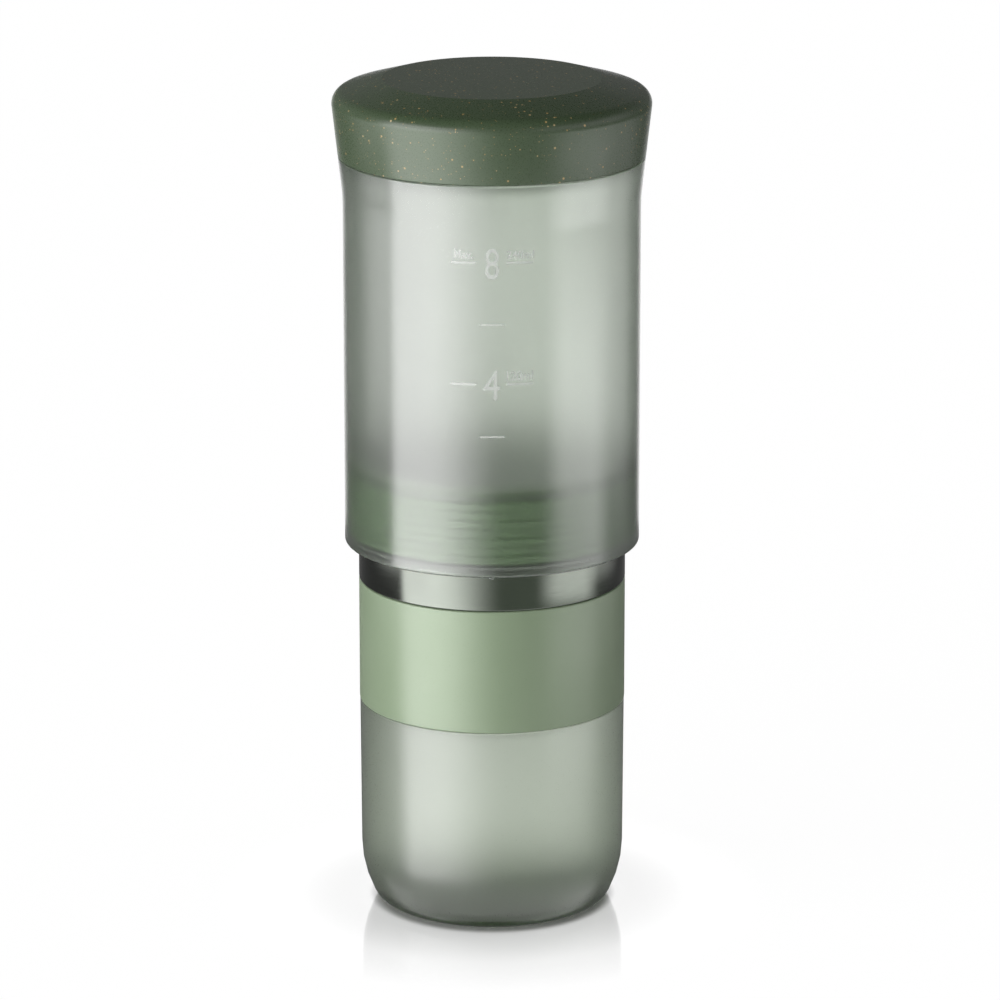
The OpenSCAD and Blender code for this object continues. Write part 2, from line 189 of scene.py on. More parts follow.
def spin_round(corners: Sequence[Corner]) -> Mesh:
    """Spins a rounded half section right round the axis.

    Args:
        corners: Corners of the section.

    Returns:
        The turned mesh.
    """
    mesh = bmesh.new()
    verts, edges = section_loop(mesh, rounded(corners))
    bmesh.ops.spin(
        mesh, geom=verts + edges, cent=(0, 0, 0), axis=UP, angle=math.tau, steps=SPIN_STEPS, use_merge=True
    )
    return mesh


def spin_sector(mesh: Mesh, corners: Sequence[Corner], middle: float, angle: float, edge: float) -> None:
    """Spins a section through part of a turn and closes its ends.

    Args:
        mesh: The mesh that receives the block.
        corners: Corners of the section.
        middle: Angle of the block's middle, from +X.
        angle: Angle that the block covers.
        edge: Bevel of the two ends.
    """
    block = bmesh.new()
    verts, edges = section_loop(block, rounded(corners), middle - angle / 2)
    steps = max(4, round(SPIN_STEPS * angle / math.tau))
    swept = bmesh.ops.spin(block, geom=verts + edges, cent=(0, 0, 0), axis=UP, angle=angle, steps=steps)
    bevel(block, close_ends(block, edges, swept), edge)
    pour_in(mesh, block)


def close_ends(block: Mesh, first: list, swept: dict) -> list:
    """Closes both ends of a swept block.

    Args:
        block: The block.
        first: Edges of the section that was swept.
        swept: What the spin operator returned.

    Returns:
        The edges of both ends.
    """
    last = [part for part in swept["geom_last"] if isinstance(part, bmesh.types.BMEdge)]
    for end in (first, last):
        bmesh.ops.edgeloop_fill(block, edges=end)
    return first + last


def bevel(mesh: Mesh, edges: list, offset: float) -> None:
    """Rounds edges of a mesh.

    Args:
        mesh: The mesh.
        edges: Its edges to round.
        offset: How far the rounding reaches from each edge.
    """
    bmesh.ops.bevel(
        mesh, geom=edges, offset=offset, offset_type="OFFSET", segments=BEVEL_SEGMENTS, profile=0.5,
        affect="EDGES", material=-1,
    )


def pour_in(mesh: Mesh, part: Mesh) -> None:
    """Adds a separate shell to a mesh, with its faces outwards, and frees it.

    Args:
        mesh: The mesh that receives the shell.
        part: The shell.
    """
    bmesh.ops.remove_doubles(part, verts=part.verts, dist=MERGE_DISTANCE)
    bmesh.ops.recalc_face_normals(part, faces=part.faces)
    carrier = bpy.data.meshes.new("carrier")
    part.to_mesh(carrier)
    part.free()
    mesh.from_mesh(carrier)
    bpy.data.meshes.remove(carrier)


@dataclass(frozen=True)
class Thread:
    """Two helical ridges side by side on a round wall, standing out where the depth is positive."""

    wall: float
    depth: float
    start: float
    turns: float
    lead: float = 6.0 * MM
    root: float = 1.6 * MM
    crest: float = 0.8 * MM
    sink: float = 0.3 * MM
    end_share: float = 0.3
    growth: float = 0.14
    steps_per_turn: int = 64

    def wind(self, mesh: Mesh) -> None:
        """Winds both ridges onto a mesh.

        Args:
            mesh: The mesh that receives the ridges.
        """
        for first in (0.0, math.pi):
            self._ridge(mesh, first)

    def _ridge(self, mesh: Mesh, first: float) -> None:
        """Winds one ridge, whose ends rise gently out of the wall.

        Args:
            mesh: The mesh that receives the ridge.
            first: Angle of the ridge's lower end.
        """
        foot = self.wall - math.copysign(self.sink, self.depth)
        section = [
            (foot, self.start - self.root / 2),
            (self.wall + self.depth, self.start - self.crest / 2),
            (self.wall + self.depth, self.start + self.crest / 2),
            (foot, self.start + self.root / 2),
        ]
        ridge = bmesh.new()
        verts, edges = section_loop(ridge, section, first)
        steps = math.ceil(self.turns * self.steps_per_turn)
        rise = Vector((0.0, 0.0, self.lead * self.turns / steps))
        swept = bmesh.ops.spin(
            ridge, geom=verts + edges, cent=(0, 0, 0), axis=UP, dvec=rise,
            angle=self.turns * math.tau, steps=steps,
        )
        close_ends(ridge, edges, swept)
        for index, vert in enumerate(ridge.verts):
            step, place = divmod(index, len(section))
            if section[place][0] != foot:
                grown = min(1.0, self.end_share + self.growth * min(step, steps - step))
                across = Vector((vert.co.x, vert.co.y, 0.0)).normalized()
                vert.co -= across * (self.depth * (1.0 - grown))
        pour_in(mesh, ridge)


@dataclass(frozen=True)
class Place:
    """Where a CAD node is: its outer radius, and its lowest and highest points."""

    radius: float
    low: float
    high: float

    @classmethod
    def of(cls, node: str) -> "Place":
        """Reads the place of a node from the frame.

        Args:
            node: Name of the CAD node.

        Returns:
            Its place.
        """
        low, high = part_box(node)
        return cls(radius=high.x, low=low.z, high=high.z)


# Finishes


class Nodes:
    """A node tree under construction, cleared first."""

    def __init__(self, tree: bpy.types.NodeTree) -> None:
        """Takes over a tree.

        Args:
            tree: Tree of a material or a world.
        """
        self.tree = tree
        self.tree.nodes.clear()

    def add(self, kind: str, **settings: object) -> bpy.types.Node:
        """Adds a node and sets its properties.

        Args:
            kind: Blender's name of the node type.
            **settings: Properties of the node.

        Returns:
            The node.
        """
        node = self.tree.nodes.new(kind)
        for name, value in settings.items():
            setattr(node, name, value)
        return node

    def feed(self, socket: Socket, value: object) -> None:
        """Links an output to a socket, or sets a plain value on it.

        Args:
            socket: The socket to feed.
            value: An output socket or a plain value.
        """
        if isinstance(value, Socket):
            self.tree.links.new(value, socket)
        else:
            socket.default_value = value

    def spread(
        self, value: Socket, source: Point, target: Point = (0.0, 1.0), smooth: bool = False
    ) -> Socket:
        """Maps a value from one range to another, clamped.

        Args:
            value: The value.
            source: Range that it comes from.
            target: Range that it goes to.
            smooth: Whether the steps at both ends are eased.

        Returns:
            The mapped value.
        """
        node = self.add("ShaderNodeMapRange", interpolation_type="SMOOTHSTEP" if smooth else "LINEAR")
        self.feed(node.inputs["Value"], value)
        node.inputs["From Min"].default_value, node.inputs["From Max"].default_value = source
        node.inputs["To Min"].default_value, node.inputs["To Max"].default_value = target
        return node.outputs["Result"]

    def compute(self, operation: str, *values: object) -> Socket:
        """A Math node on one or more values, taken two at a time.

        Args:
            operation: Blender's name of the operation.
            *values: Plain values or sockets.

        Returns:
            The result.
        """
        result = values[0]
        for value in values[1:] or (0.0,):
            node = self.add("ShaderNodeMath", operation=operation)
            self.feed(node.inputs[0], result)
            self.feed(node.inputs[1], value)
            result = node.outputs["Value"]
        return result

    def azimuth(self, vector: Socket) -> tuple[Socket, Socket]:
        """The angle of a vector round +Z and its height.

        Args:
            vector: The vector.

        Returns:
            The angle in degrees, 0 on the camera's side and growing to the right, and the vector's Z.
        """
        parts = self.add("ShaderNodeSeparateXYZ")
        self.feed(parts.inputs["Vector"], vector)
        towards = self.compute("MULTIPLY", parts.outputs["Y"], -1.0)
        angle = self.compute("ARCTAN2", parts.outputs["X"], towards)
        return self.compute("DEGREES", angle), parts.outputs["Z"]

    def add_shaders(self, first: bpy.types.Node, second: bpy.types.Node) -> bpy.types.Node:
        """Adds the light of two shaders.

        Args:
            first: First shader node.
            second: Second shader node.

        Returns:
            The adding node.
        """
        node = self.add("ShaderNodeAddShader")
        self.feed(node.inputs[0], first.outputs[0])
        self.feed(node.inputs[1], second.outputs[0])
        return node

    def mix_shaders(self, share: object, first: bpy.types.Node, second: bpy.types.Node) -> bpy.types.Node:
        """Mixes two shaders.

        Args:
            share: Share of the second.
            first: First shader node.
            second: Second shader node.

        Returns:
            The mixing node.
        """
        node = self.add("ShaderNodeMixShader")
        self.feed(node.inputs["Fac"], share)
        self.feed(node.inputs[1], first.outputs[0])
        self.feed(node.inputs[2], second.outputs[0])
        return node


@dataclass(frozen=True)
class Clouds:
    """Soft clouds in which two near values meet, with so many to a millimetre and so many octaves."""

    per_mm: float
    detail: float
    span: Point = NOISE_SPAN


@dataclass(frozen=True)
class Grain:
    """A fine relief, with so many features to a millimetre and so many octaves.

    It makes the roughness uneven, which goes below and above its middle by two amounts.
    """

    per_mm: float
    detail: float
    depth: float
    strength: float
    unevenness: Point
    stretch: Colour = (1.0, 1.0, 1.0)


class Shade(Nodes):
    """A Principled material under construction, on Object coordinates in millimetres."""

    def __init__(self, name: str) -> None:
        """Starts the material.

        Args:
            name: Name of the material.
        """
        self.material = bpy.data.materials.new(name)
        self.material.use_nodes = True
        super().__init__(self.material.node_tree)
        self.surface = self.add("ShaderNodeBsdfPrincipled")
        self.output = self.add("ShaderNodeOutputMaterial")
        self.feed(self.output.inputs["Surface"], self.surface.outputs["BSDF"])
        self.coords = self.add("ShaderNodeTexCoord").outputs["Object"]

    def dress(self, **values: object) -> None:
        """Feeds sockets of the surface shader, named with underscores for spaces.

        Args:
            **values: An output socket or a plain value for each socket.
        """
        for name, value in values.items():
            self.feed(self.surface.inputs[name.replace("_", " ")], value)

    def millimetres(self, scale: Colour = (1.0, 1.0, 1.0)) -> Socket:
        """Object coordinates in millimetres.

        Args:
            scale: Scale on each axis.

        Returns:
            The coordinates.
        """
        mapping = self.add("ShaderNodeMapping")
        self.feed(mapping.inputs["Vector"], self.coords)
        mapping.inputs["Scale"].default_value = [PER_MM * share for share in scale]
        return mapping.outputs["Vector"]

    def noise(self, per_mm: float, detail: float, stretch: Colour = (1.0, 1.0, 1.0)) -> Socket:
        """Smooth noise.

        Args:
            per_mm: How many features fall in a millimetre.
            detail: Octaves of finer noise.
            stretch: Scale on each axis.

        Returns:
            The noise, about 0.5 on average.
        """
        node = self.add("ShaderNodeTexNoise")
        self.feed(node.inputs["Vector"], self.millimetres(stretch))
        node.inputs["Scale"].default_value = per_mm
        node.inputs["Detail"].default_value = detail
        return node.outputs["Fac"]

    def outwards(self) -> Socket:
        """How far the surface faces away from the axis.

        Returns:
            From -1 on the inside to 1 on the outside, whichever way the light meets it.
        """
        flat = self.add("ShaderNodeVectorMath", operation="MULTIPLY")
        self.feed(flat.inputs[0], self.coords)
        flat.inputs[1].default_value = (1.0, 1.0, 0.0)
        across = self.add("ShaderNodeVectorMath", operation="NORMALIZE")
        self.feed(across.inputs[0], flat.outputs["Vector"])
        facing = self.add("ShaderNodeVectorMath", operation="DOT_PRODUCT")
        self.feed(facing.inputs[0], across.outputs["Vector"])
        self.feed(facing.inputs[1], self.add("ShaderNodeTexCoord").outputs["Normal"])
        turned = self.spread(self.add("ShaderNodeNewGeometry").outputs["Backfacing"], (0.0, 1.0), (1.0, -1.0))
        return self.compute("MULTIPLY", facing.outputs["Value"], turned)

    def blend(self, share: Socket, first: object, second: object) -> Socket:
        """Mixes two colours.

        Args:
            share: Share of the second colour.
            first: First colour or socket.
            second: Second colour or socket.

        Returns:
            The mixed colour.
        """
        node = self.add("ShaderNodeMix", data_type="RGBA")
        self.feed(node.inputs["Factor"], share)
        for socket, value in ((node.inputs[6], first), (node.inputs[7], second)):
            self.feed(socket, value if isinstance(value, Socket) else (*value, 1.0))
        return node.outputs[2]

    def soak(self, tint: Colour, per_metre: float) -> None:
        """Tints the light on its way through the body.

        Args:
            tint: Colour that the light takes on.
            per_metre: How strongly it is tinted on a metre.
        """
        body = self.add("ShaderNodeVolumeAbsorption")
        body.inputs["Color"].default_value = (*tint, 1.0)
        body.inputs["Density"].default_value = per_metre
        self.feed(self.output.inputs["Volume"], body.outputs["Volume"])

    def cloudy(self, clouds: Clouds) -> Socket:
        """How far a point is from the first to the second value of soft clouds.

        Args:
            clouds: The clouds.

        Returns:
            From 0 at the first to 1 at the second.
        """
        return self.spread(self.noise(clouds.per_mm, clouds.detail), clouds.span)

    def relief(self, grain: Grain) -> Socket:
        """Bumps the surface with a grain.

        Args:
            grain: The grain.

        Returns:
            Its height, about 0.5 on average.
        """
        height = self.noise(grain.per_mm, grain.detail, grain.stretch)
        node = self.add("ShaderNodeBump")
        node.inputs["Strength"].default_value = grain.strength
        node.inputs["Distance"].default_value = grain.depth
        self.feed(node.inputs["Height"], height)
        self.feed(self.surface.inputs["Normal"], node.outputs["Normal"])
        return height

    def uneven(self, noise: Socket, middle: float, reach: Point) -> Socket:
        """A value that varies with a noise.

        Args:
            noise: The noise.
            middle: The value without it.
            reach: How far the value goes below and above that.

        Returns:
            The value.
        """
        return self.spread(noise, NOISE_SPAN, (middle - reach[0], middle + reach[1]))


@dataclass(frozen=True)
class FrostedPlastic:
    """Clear plastic with a satin skin, frosted on its inside and tinted where it is thick."""

    name: str
    pale: Colour
    deep: Colour
    tint: Colour
    tint_per_m: float
    skin_ior: float
    skin_roughness: float
    body_ior: float = 1.35
    inside_roughness: float = 0.68
    outside_roughness: float = 0.3
    rim_blend: float = 0.2
    clouds: Clouds = Clouds(0.06, 3.0)
    frost: Grain = Grain(4.0, 3.0, 0.006 * MM, 0.4, (0.03, 0.03))

    def material(self) -> Material:
        """Builds the material.

        Returns:
            The material.
        """
        shade = Shade(self.name)
        frost = shade.relief(self.frost)
        outside = shade.spread(shade.outwards(), (-self.rim_blend, self.rim_blend))
        rough = shade.spread(outside, (0.0, 1.0), (self.inside_roughness, self.outside_roughness))
        shade.dress(
            Base_Color=shade.blend(shade.cloudy(self.clouds), self.pale, self.deep),
            Roughness=shade.compute("ADD", rough, shade.uneven(frost, 0.0, self.frost.unevenness)),
            IOR=self.body_ior,
            Transmission_Weight=1.0,
            Coat_Weight=outside,
            Coat_IOR=self.skin_ior,
            Coat_Roughness=self.skin_roughness,
        )
        shade.soak(self.tint, self.tint_per_m)
        return shade.material


@dataclass(frozen=True)
class OpaqueFinish:
    """Two near colours that meet in soft clouds, under a fine grain."""

    name: str
    colour: Colour
    worn: Colour
    roughness: float
    ior: float
    clouds: Clouds
    grain: Grain
    metallic: float = 0.0

    def material(self) -> Material:
        """Builds the material.

        Returns:
            The material.
        """
        shade = Shade(self.name)
        grain = shade.relief(self.grain)
        shade.dress(
            Base_Color=self.pattern(shade),
            Metallic=self.metallic,
            Roughness=shade.uneven(grain, self.roughness, self.grain.unevenness),
            IOR=self.ior,
        )
        return shade.material

    def pattern(self, shade: Shade) -> Socket:
        """Colours the surface.

        Args:
            shade: The material.

        Returns:
            The colour.
        """
        return shade.blend(shade.cloudy(self.clouds), self.colour, self.worn)


@dataclass(frozen=True)
class Silicone(OpaqueFinish):
    """Matt silicone with a dry, faintly dusty skin."""

    clouds: Clouds = Clouds(0.09, 4.0, (0.32, 0.68))
    grain: Grain = Grain(5.0, 3.0, 0.015 * MM, 0.5, (0.06, 0.06))


@dataclass(frozen=True)
class DrawnSteel(OpaqueFinish):
    """Stainless steel with fine lines round it from drawing and polishing."""

    ior: float = PLAIN_IOR
    clouds: Clouds = Clouds(0.1, 3.0)
    grain: Grain = Grain(9.0, 3.0, 0.002 * MM, 0.4, (0.04, 0.05), (0.02, 0.02, 1.0))
    metallic: float = 1.0


@dataclass(frozen=True)
class MouldedPlastic(OpaqueFinish):
    """Matt moulded plastic with a fine spark-eroded grain."""

    roughness: float = 0.48
    ior: float = PLAIN_IOR
    clouds: Clouds = Clouds(0.15, 3.0)
    grain: Grain = Grain(3.5, 4.0, 0.02 * MM, 0.6, (0.06, 0.06))


@dataclass(frozen=True)
class Flecks:
    """Flecks of about one size, at most one to a cell. Their radii are shares of a cell."""

    cells_per_mm: float
    largest: float
    share_of_cells: float
    smallest_share: float = 0.4
    blurred_share: float = 0.35
    chance_step: float = 0.01

    def scatter(self, shade: Shade) -> tuple[Socket, Socket]:
        """Scatters the flecks.

        Args:
            shade: The material.

        Returns:
            How much a point is in a fleck, and a random tone for that fleck.
        """
        cells = shade.add("ShaderNodeTexVoronoi", feature="F1")
        shade.feed(cells.inputs["Vector"], shade.millimetres())
        cells.inputs["Scale"].default_value = self.cells_per_mm
        chance = shade.add("ShaderNodeSeparateColor")
        shade.feed(chance.inputs["Color"], cells.outputs["Color"])
        kept = self.share_of_cells
        there = shade.spread(chance.outputs["Red"], (kept, kept + self.chance_step), (1.0, 0.0))
        radii = (self.smallest_share * self.largest, self.largest)
        size = shade.spread(chance.outputs["Green"], (0.0, 1.0), radii)
        inside = shade.compute("SUBTRACT", size, cells.outputs["Distance"])
        share = shade.spread(inside, (0.0, self.blurred_share * self.largest), smooth=True)
        return shade.compute("MULTIPLY", share, there), chance.outputs["Blue"]


@dataclass(frozen=True)
class SpeckledPlastic(OpaqueFinish):
    """Satin moulded plastic with tan flecks of three sizes in it."""

    ior: float = 1.53
    clouds: Clouds = Clouds(0.12, 4.0)
    grain: Grain = Grain(3.0, 4.0, 0.006 * MM, 0.12, (0.05, 0.06))
    tan: Colour = (0.58, 0.38, 0.14)
    straw: Colour = (0.72, 0.55, 0.29)
    flecks: tuple[Flecks, ...] = (Flecks(0.55, 0.2, 0.7), Flecks(0.9, 0.2, 0.25), Flecks(1.8, 0.26, 0.12))

    def pattern(self, shade: Shade) -> Socket:
        """Colours the surface and scatters the flecks on it.

        Args:
            shade: The material.

        Returns:
            The colour.
        """
        colour = super().pattern(shade)
        for flecks in self.flecks:
            share, tone = flecks.scatter(shade)
            colour = shade.blend(share, colour, shade.blend(tone, self.tan, self.straw))
        return colour


@dataclass(frozen=True)
class ScaleInk:
    """Thin pale ink that lets some of the wall behind it through."""

    name: str
    colour: Colour
    faded: Colour
    cover: float = 0.45
    patches: Clouds = Clouds(1.2, 3.0, (0.35, 0.65))
    roughness: Point = (0.4, 0.5)
    skin_ior: float = 1.8
    skin_roughness: float = 0.2

    def material(self) -> Material:
        """Builds the material.

        Returns:
            The material.
        """
        shade = Shade(self.name)
        patches = shade.cloudy(self.patches)
        shade.dress(
            Alpha=self.cover,
            Base_Color=shade.blend(patches, self.colour, self.faded),
            Roughness=shade.spread(patches, (0.0, 1.0), self.roughness),
            Coat_Weight=1.0,
            Coat_IOR=self.skin_ior,
            Coat_Roughness=self.skin_roughness,
        )
        return shade.material


class Finishes:
    """Every finish of the brewer, built once."""

    def __init__(self) -> None:
        """Builds the materials."""
        self.chamber = FrostedPlastic(
            "frosted_chamber_finish", (0.90, 0.92, 0.89), (0.88, 0.90, 0.87), (0.2, 0.5, 0.1), 36.0, 1.77, 0.2
        ).material()
        self.cup = FrostedPlastic(
            "frosted_cup_finish", (0.88, 0.90, 0.87), (0.86, 0.88, 0.85), (0.24, 0.47, 0.07), 52.0, 1.5, 0.29
        ).material()
        self.lid = SpeckledPlastic(
            "speckled_lid_finish", (0.069, 0.103, 0.055), (0.075, 0.11, 0.06), 0.29
        ).material()
        self.inner = MouldedPlastic("inner_plastic_finish", (0.55, 0.58, 0.53), (0.58, 0.61, 0.56)).material()
        self.cap = MouldedPlastic("cap_plastic_finish", (0.38, 0.43, 0.35), (0.41, 0.46, 0.38)).material()
        self.grip = Silicone(
            "grip_silicone_finish", (0.278, 0.362, 0.232), (0.29, 0.374, 0.244), 0.33, 1.7
        ).material()
        self.seal = Silicone(
            "seal_silicone_finish", (0.22, 0.36, 0.165), (0.235, 0.375, 0.18), 0.32, 2.0
        ).material()
        self.tube = DrawnSteel(
            "polished_steel_finish", (0.138, 0.148, 0.133), (0.128, 0.137, 0.123), 0.14
        ).material()
        self.basket = DrawnSteel("basket_steel_finish", (0.5, 0.51, 0.5), (0.44, 0.45, 0.44), 0.3).material()
        coarse = replace(DrawnSteel.grain, per_mm=4.0)
        self.filter = DrawnSteel(
            "filter_steel_finish", (0.46, 0.47, 0.46), (0.4, 0.41, 0.4), 0.34, grain=coarse
        ).material()
        self.screen = DrawnSteel(
            "screen_steel_finish", (0.42, 0.43, 0.42), (0.38, 0.39, 0.38), 0.4, grain=coarse
        ).material()
        self.ink = ScaleInk("scale_ink_finish", (0.94, 0.95, 0.93), (0.88, 0.9, 0.87)).material()


# Pieces on their bodies


def hand_over(
    mesh: Mesh,
    name: str,
    body: Body,
    material: Material,
    nodes: Sequence[str] = (),
) -> None:
    """Makes a finished mesh a piece of the brewer.

    Args:
        mesh: The mesh, which is freed.
        name: Name of the piece.
        body: The body that it rides on.
        material: Its material.
        nodes: The CAD nodes that it stands for.
    """
    bmesh.ops.remove_doubles(mesh, verts=mesh.verts, dist=MERGE_DISTANCE)
    bmesh.ops.recalc_face_normals(mesh, faces=mesh.faces)
    data = bpy.data.meshes.new(name)
    mesh.to_mesh(data)
    mesh.free()
    data.shade_smooth()
    data.set_sharp_from_angle(angle=SHARP_EDGE)
    data.materials.append(material)
    piece = bpy.data.objects.new(name, data)
    bpy.context.scene.collection.objects.link(piece)
    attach(piece, body.value)
    if nodes:
        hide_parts(*nodes)
    LOG.info("%s rides on %s with %d faces", name, body.value, len(data.polygons))


def refinish(node: str, material: Material) -> None:
    """Gives a CAD node that stays its finish.

    Args:
        node: Name of the node.
        material: Its material.
    """
    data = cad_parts[node].data
    data.materials.clear()
    data.materials.append(material)
    LOG.info("%s keeps its CAD shape", node)


@dataclass
class Lid:
    """The screw lid: a speckled shell, its threaded liner and the gasket under it."""

    flare: float = math.radians(6.4)
    edge_r: float = 0.4 * MM
    shoulder_r: float = 3.6 * MM
    slope: float = math.radians(15.7)
    flat_r: float = 27.5 * MM
    crease_r: float = 0.9 * MM
    top_t: float = 2.0 * MM
    step: float = 1.6 * MM
    rib_r: float = 13.5 * MM
    rib_t: float = 1.6 * MM
    fit: float = 0.05 * MM
    liner_wall: float = 1.0 * MM
    liner_t: float = 1.6 * MM
    thread_depth: float = 0.9 * MM
    thread_start: float = 2.8 * MM
    thread_turns: float = 1.189
    gasket_w: float = 2.4 * MM

    def build(self, finishes: Finishes) -> None:
        """Builds the three pieces.

        Args:
            finishes: The brewer's finishes.
        """
        self._shell(finishes.lid)
        self._liner(finishes.inner)
        self._gasket(finishes.seal)

    def _shell(self, material: Material) -> None:
        """Spins the lid's outer shell, with a sloped ring round a flat top.

        Args:
            material: Its material.
        """
        cap, liner = Place.of("lid_cap"), Place.of("lid_liner")
        slope_drop = math.tan(self.slope)
        # The side and the sloped ring meet in the shoulder's corner; the shoulder's widest point is the box.
        shoulder_x = cap.radius - self.shoulder_r
        side_lean = math.tan(self.flare)
        slope_x = shoulder_x + self.shoulder_r * math.sin(self.slope)
        slope_z = cap.high - (slope_x - self.flat_r) * slope_drop
        shoulder_z = slope_z - self.shoulder_r * math.cos(self.slope)
        edge_x = shoulder_x + self.shoulder_r / math.cos(self.flare) - (shoulder_z - cap.low) * side_lean
        corner_x = (cap.high - cap.low + self.flat_r * slope_drop + edge_x / side_lean) / (
            slope_drop + 1 / side_lean
        )
        corner_z = cap.low + (corner_x - edge_x) / side_lean
        bore = liner.radius + self.fit
        seat_z = liner.high + self.fit
        seat_x = liner.radius - self.step
        under = cap.high - self.top_t
        slope_run = (under - seat_z - self.step) / slope_drop
        shell = spin_round([
            (0.0, under, 0.0),
            (self.rib_r - self.rib_t, under, EASED),
            (self.rib_r - self.rib_t, seat_z, EASED),
            (self.rib_r, seat_z, EASED),
            (self.rib_r, under, EASED),
            (seat_x - slope_run, under, ROUND),
            (seat_x, seat_z + self.step, EASED),
            (seat_x, seat_z, CRISP),
            (bore, seat_z, CRISP),
            (bore, cap.low, EASED),
            (edge_x, cap.low, self.edge_r),
            (corner_x, corner_z, self.shoulder_r),
            (self.flat_r, cap.high, self.crease_r),
            (0.0, cap.high, 0.0),
        ])
        hand_over(shell, "lid_shell", Body.LID, material, ["lid_cap"])

    def _liner(self, material: Material) -> None:
        """Spins the threaded liner that carries the pressing force.

        Args:
            material: Its material.
        """
        at, cap = Place.of("lid_liner"), Place.of("lid_cap")
        bore = at.radius - self.liner_wall
        plate = at.high - self.liner_t
        liner = spin_round([
            (0.0, plate, 0.0),
            (bore, plate, SOFT),
            (bore, at.low, PLAIN),
            (at.radius, at.low, PLAIN),
            (at.radius, at.high, PLAIN),
            (0.0, at.high, 0.0),
        ])
        Thread(bore, -self.thread_depth, cap.low + self.thread_start, self.thread_turns).wind(liner)
        hand_over(liner, "lid_inner_liner", Body.LID, material, ["lid_liner"])

    def _gasket(self, material: Material) -> None:
        """Spins the gasket that seals the lid on the chamber's neck.

        Args:
            material: Its material.
        """
        at = Place.of("lid_gasket")
        gasket = spin_round(ring_corners(at.radius, at.radius - self.gasket_w, at.low, at.high, ROUND))
        hand_over(gasket, "lid_seal_ring", Body.GASKET, material, ["lid_gasket"])


@dataclass
class WaterChamber:
    """The frosted chamber, which flares up to the lid, with its printed scale."""

    wall: float = 2.2 * MM
    radius: float = 37.5 * MM
    lip_bore: float = 34.45 * MM
    lip_h: float = 1.3 * MM
    lip_cone_h: float = 1.0 * MM
    rim_r: float = 0.6 * MM
    nub_w: float = 1.2 * MM
    nub_h: float = 0.4 * MM
    nub_t: float = 1.4 * MM
    flare: float = math.radians(6.4)
    flare_h: float = 12.7 * MM
    flare_r: float = 45.0 * MM
    neck_h: float = 10.0 * MM
    neck_r: float = 35.21 * MM
    neck_wall: float = 2.1 * MM
    neck_cone_h: float = 2.6 * MM
    neck_fillet: float = 4.0 * MM
    thread_depth: float = 0.9 * MM
    thread_start: float = 1.5 * MM
    thread_turns: float = 1.216

    def build(self, finishes: Finishes) -> None:
        """Builds the chamber and its scale.

        Args:
            finishes: The brewer's finishes.
        """
        at = Place.of("water_chamber")
        rim = at.low + self.nub_h
        self._vessel(at, rim, finishes.chamber)
        ScalePrint(self.radius, rim).build(finishes.ink)

    def _vessel(self, at: Place, rim: float, material: Material) -> None:
        """Spins the chamber, winds the neck's thread and sets the nub on the rim.

        Args:
            at: Place of the CAD node.
            rim: Height of the lower rim.
            material: Its material.
        """
        top = at.high - self.neck_h
        bore = self.radius - self.wall
        mouth = self.neck_r - self.neck_wall
        lip_top = rim + self.lip_h
        bend = top - self.flare_h + self.flare_r * math.tan(self.flare / 2)
        vessel = spin_round([
            (self.lip_bore, lip_top, EASED),
            (self.lip_bore, rim, SOFT),
            (self.radius, rim, self.rim_r),
            (self.radius, bend, self.flare_r),
            (at.radius, top, EASED),
            (self.neck_r, top, EASED),
            (self.neck_r, at.high, self.neck_wall * LIP_SHARE),
            (mouth, at.high, self.neck_wall * LIP_SHARE),
            (mouth, top, self.neck_fillet),
            (bore, top - self.neck_cone_h, self.neck_fillet),
            (bore, lip_top + self.lip_cone_h, ROUND),
        ])
        Thread(self.neck_r, self.thread_depth, top + self.thread_start, self.thread_turns).wind(vessel)
        self._nub(vessel, rim)
        hand_over(
            vessel, "frosted_water_chamber", Body.CHAMBER, material, ["water_chamber"]
        )

    def _nub(self, vessel: Mesh, rim: float) -> None:
        """Sets the small rounded nub under the front of the rim.

        Args:
            vessel: The mesh that receives it.
            rim: Height of the lower rim.
        """
        nub = bmesh.new()
        bmesh.ops.create_cube(nub, size=1.0)
        height = self.nub_h + self.rim_r
        middle = (self.rim_r + self.nub_t) / 2 - self.radius
        bmesh.ops.scale(nub, vec=(self.nub_w, self.nub_t, height), verts=nub.verts)
        bmesh.ops.translate(nub, vec=(0.0, middle, rim - self.nub_h + height / 2), verts=nub.verts)
        bevel(nub, nub.edges[:], PLAIN)
        pour_in(vessel, nub)


@dataclass(frozen=True)
class Word:
    """A number or word of the scale, placed by its middle across the front and its foot above the rim."""

    text: str
    middle: float
    foot: float
    width: float
    height: float
    weight: float = 0.0


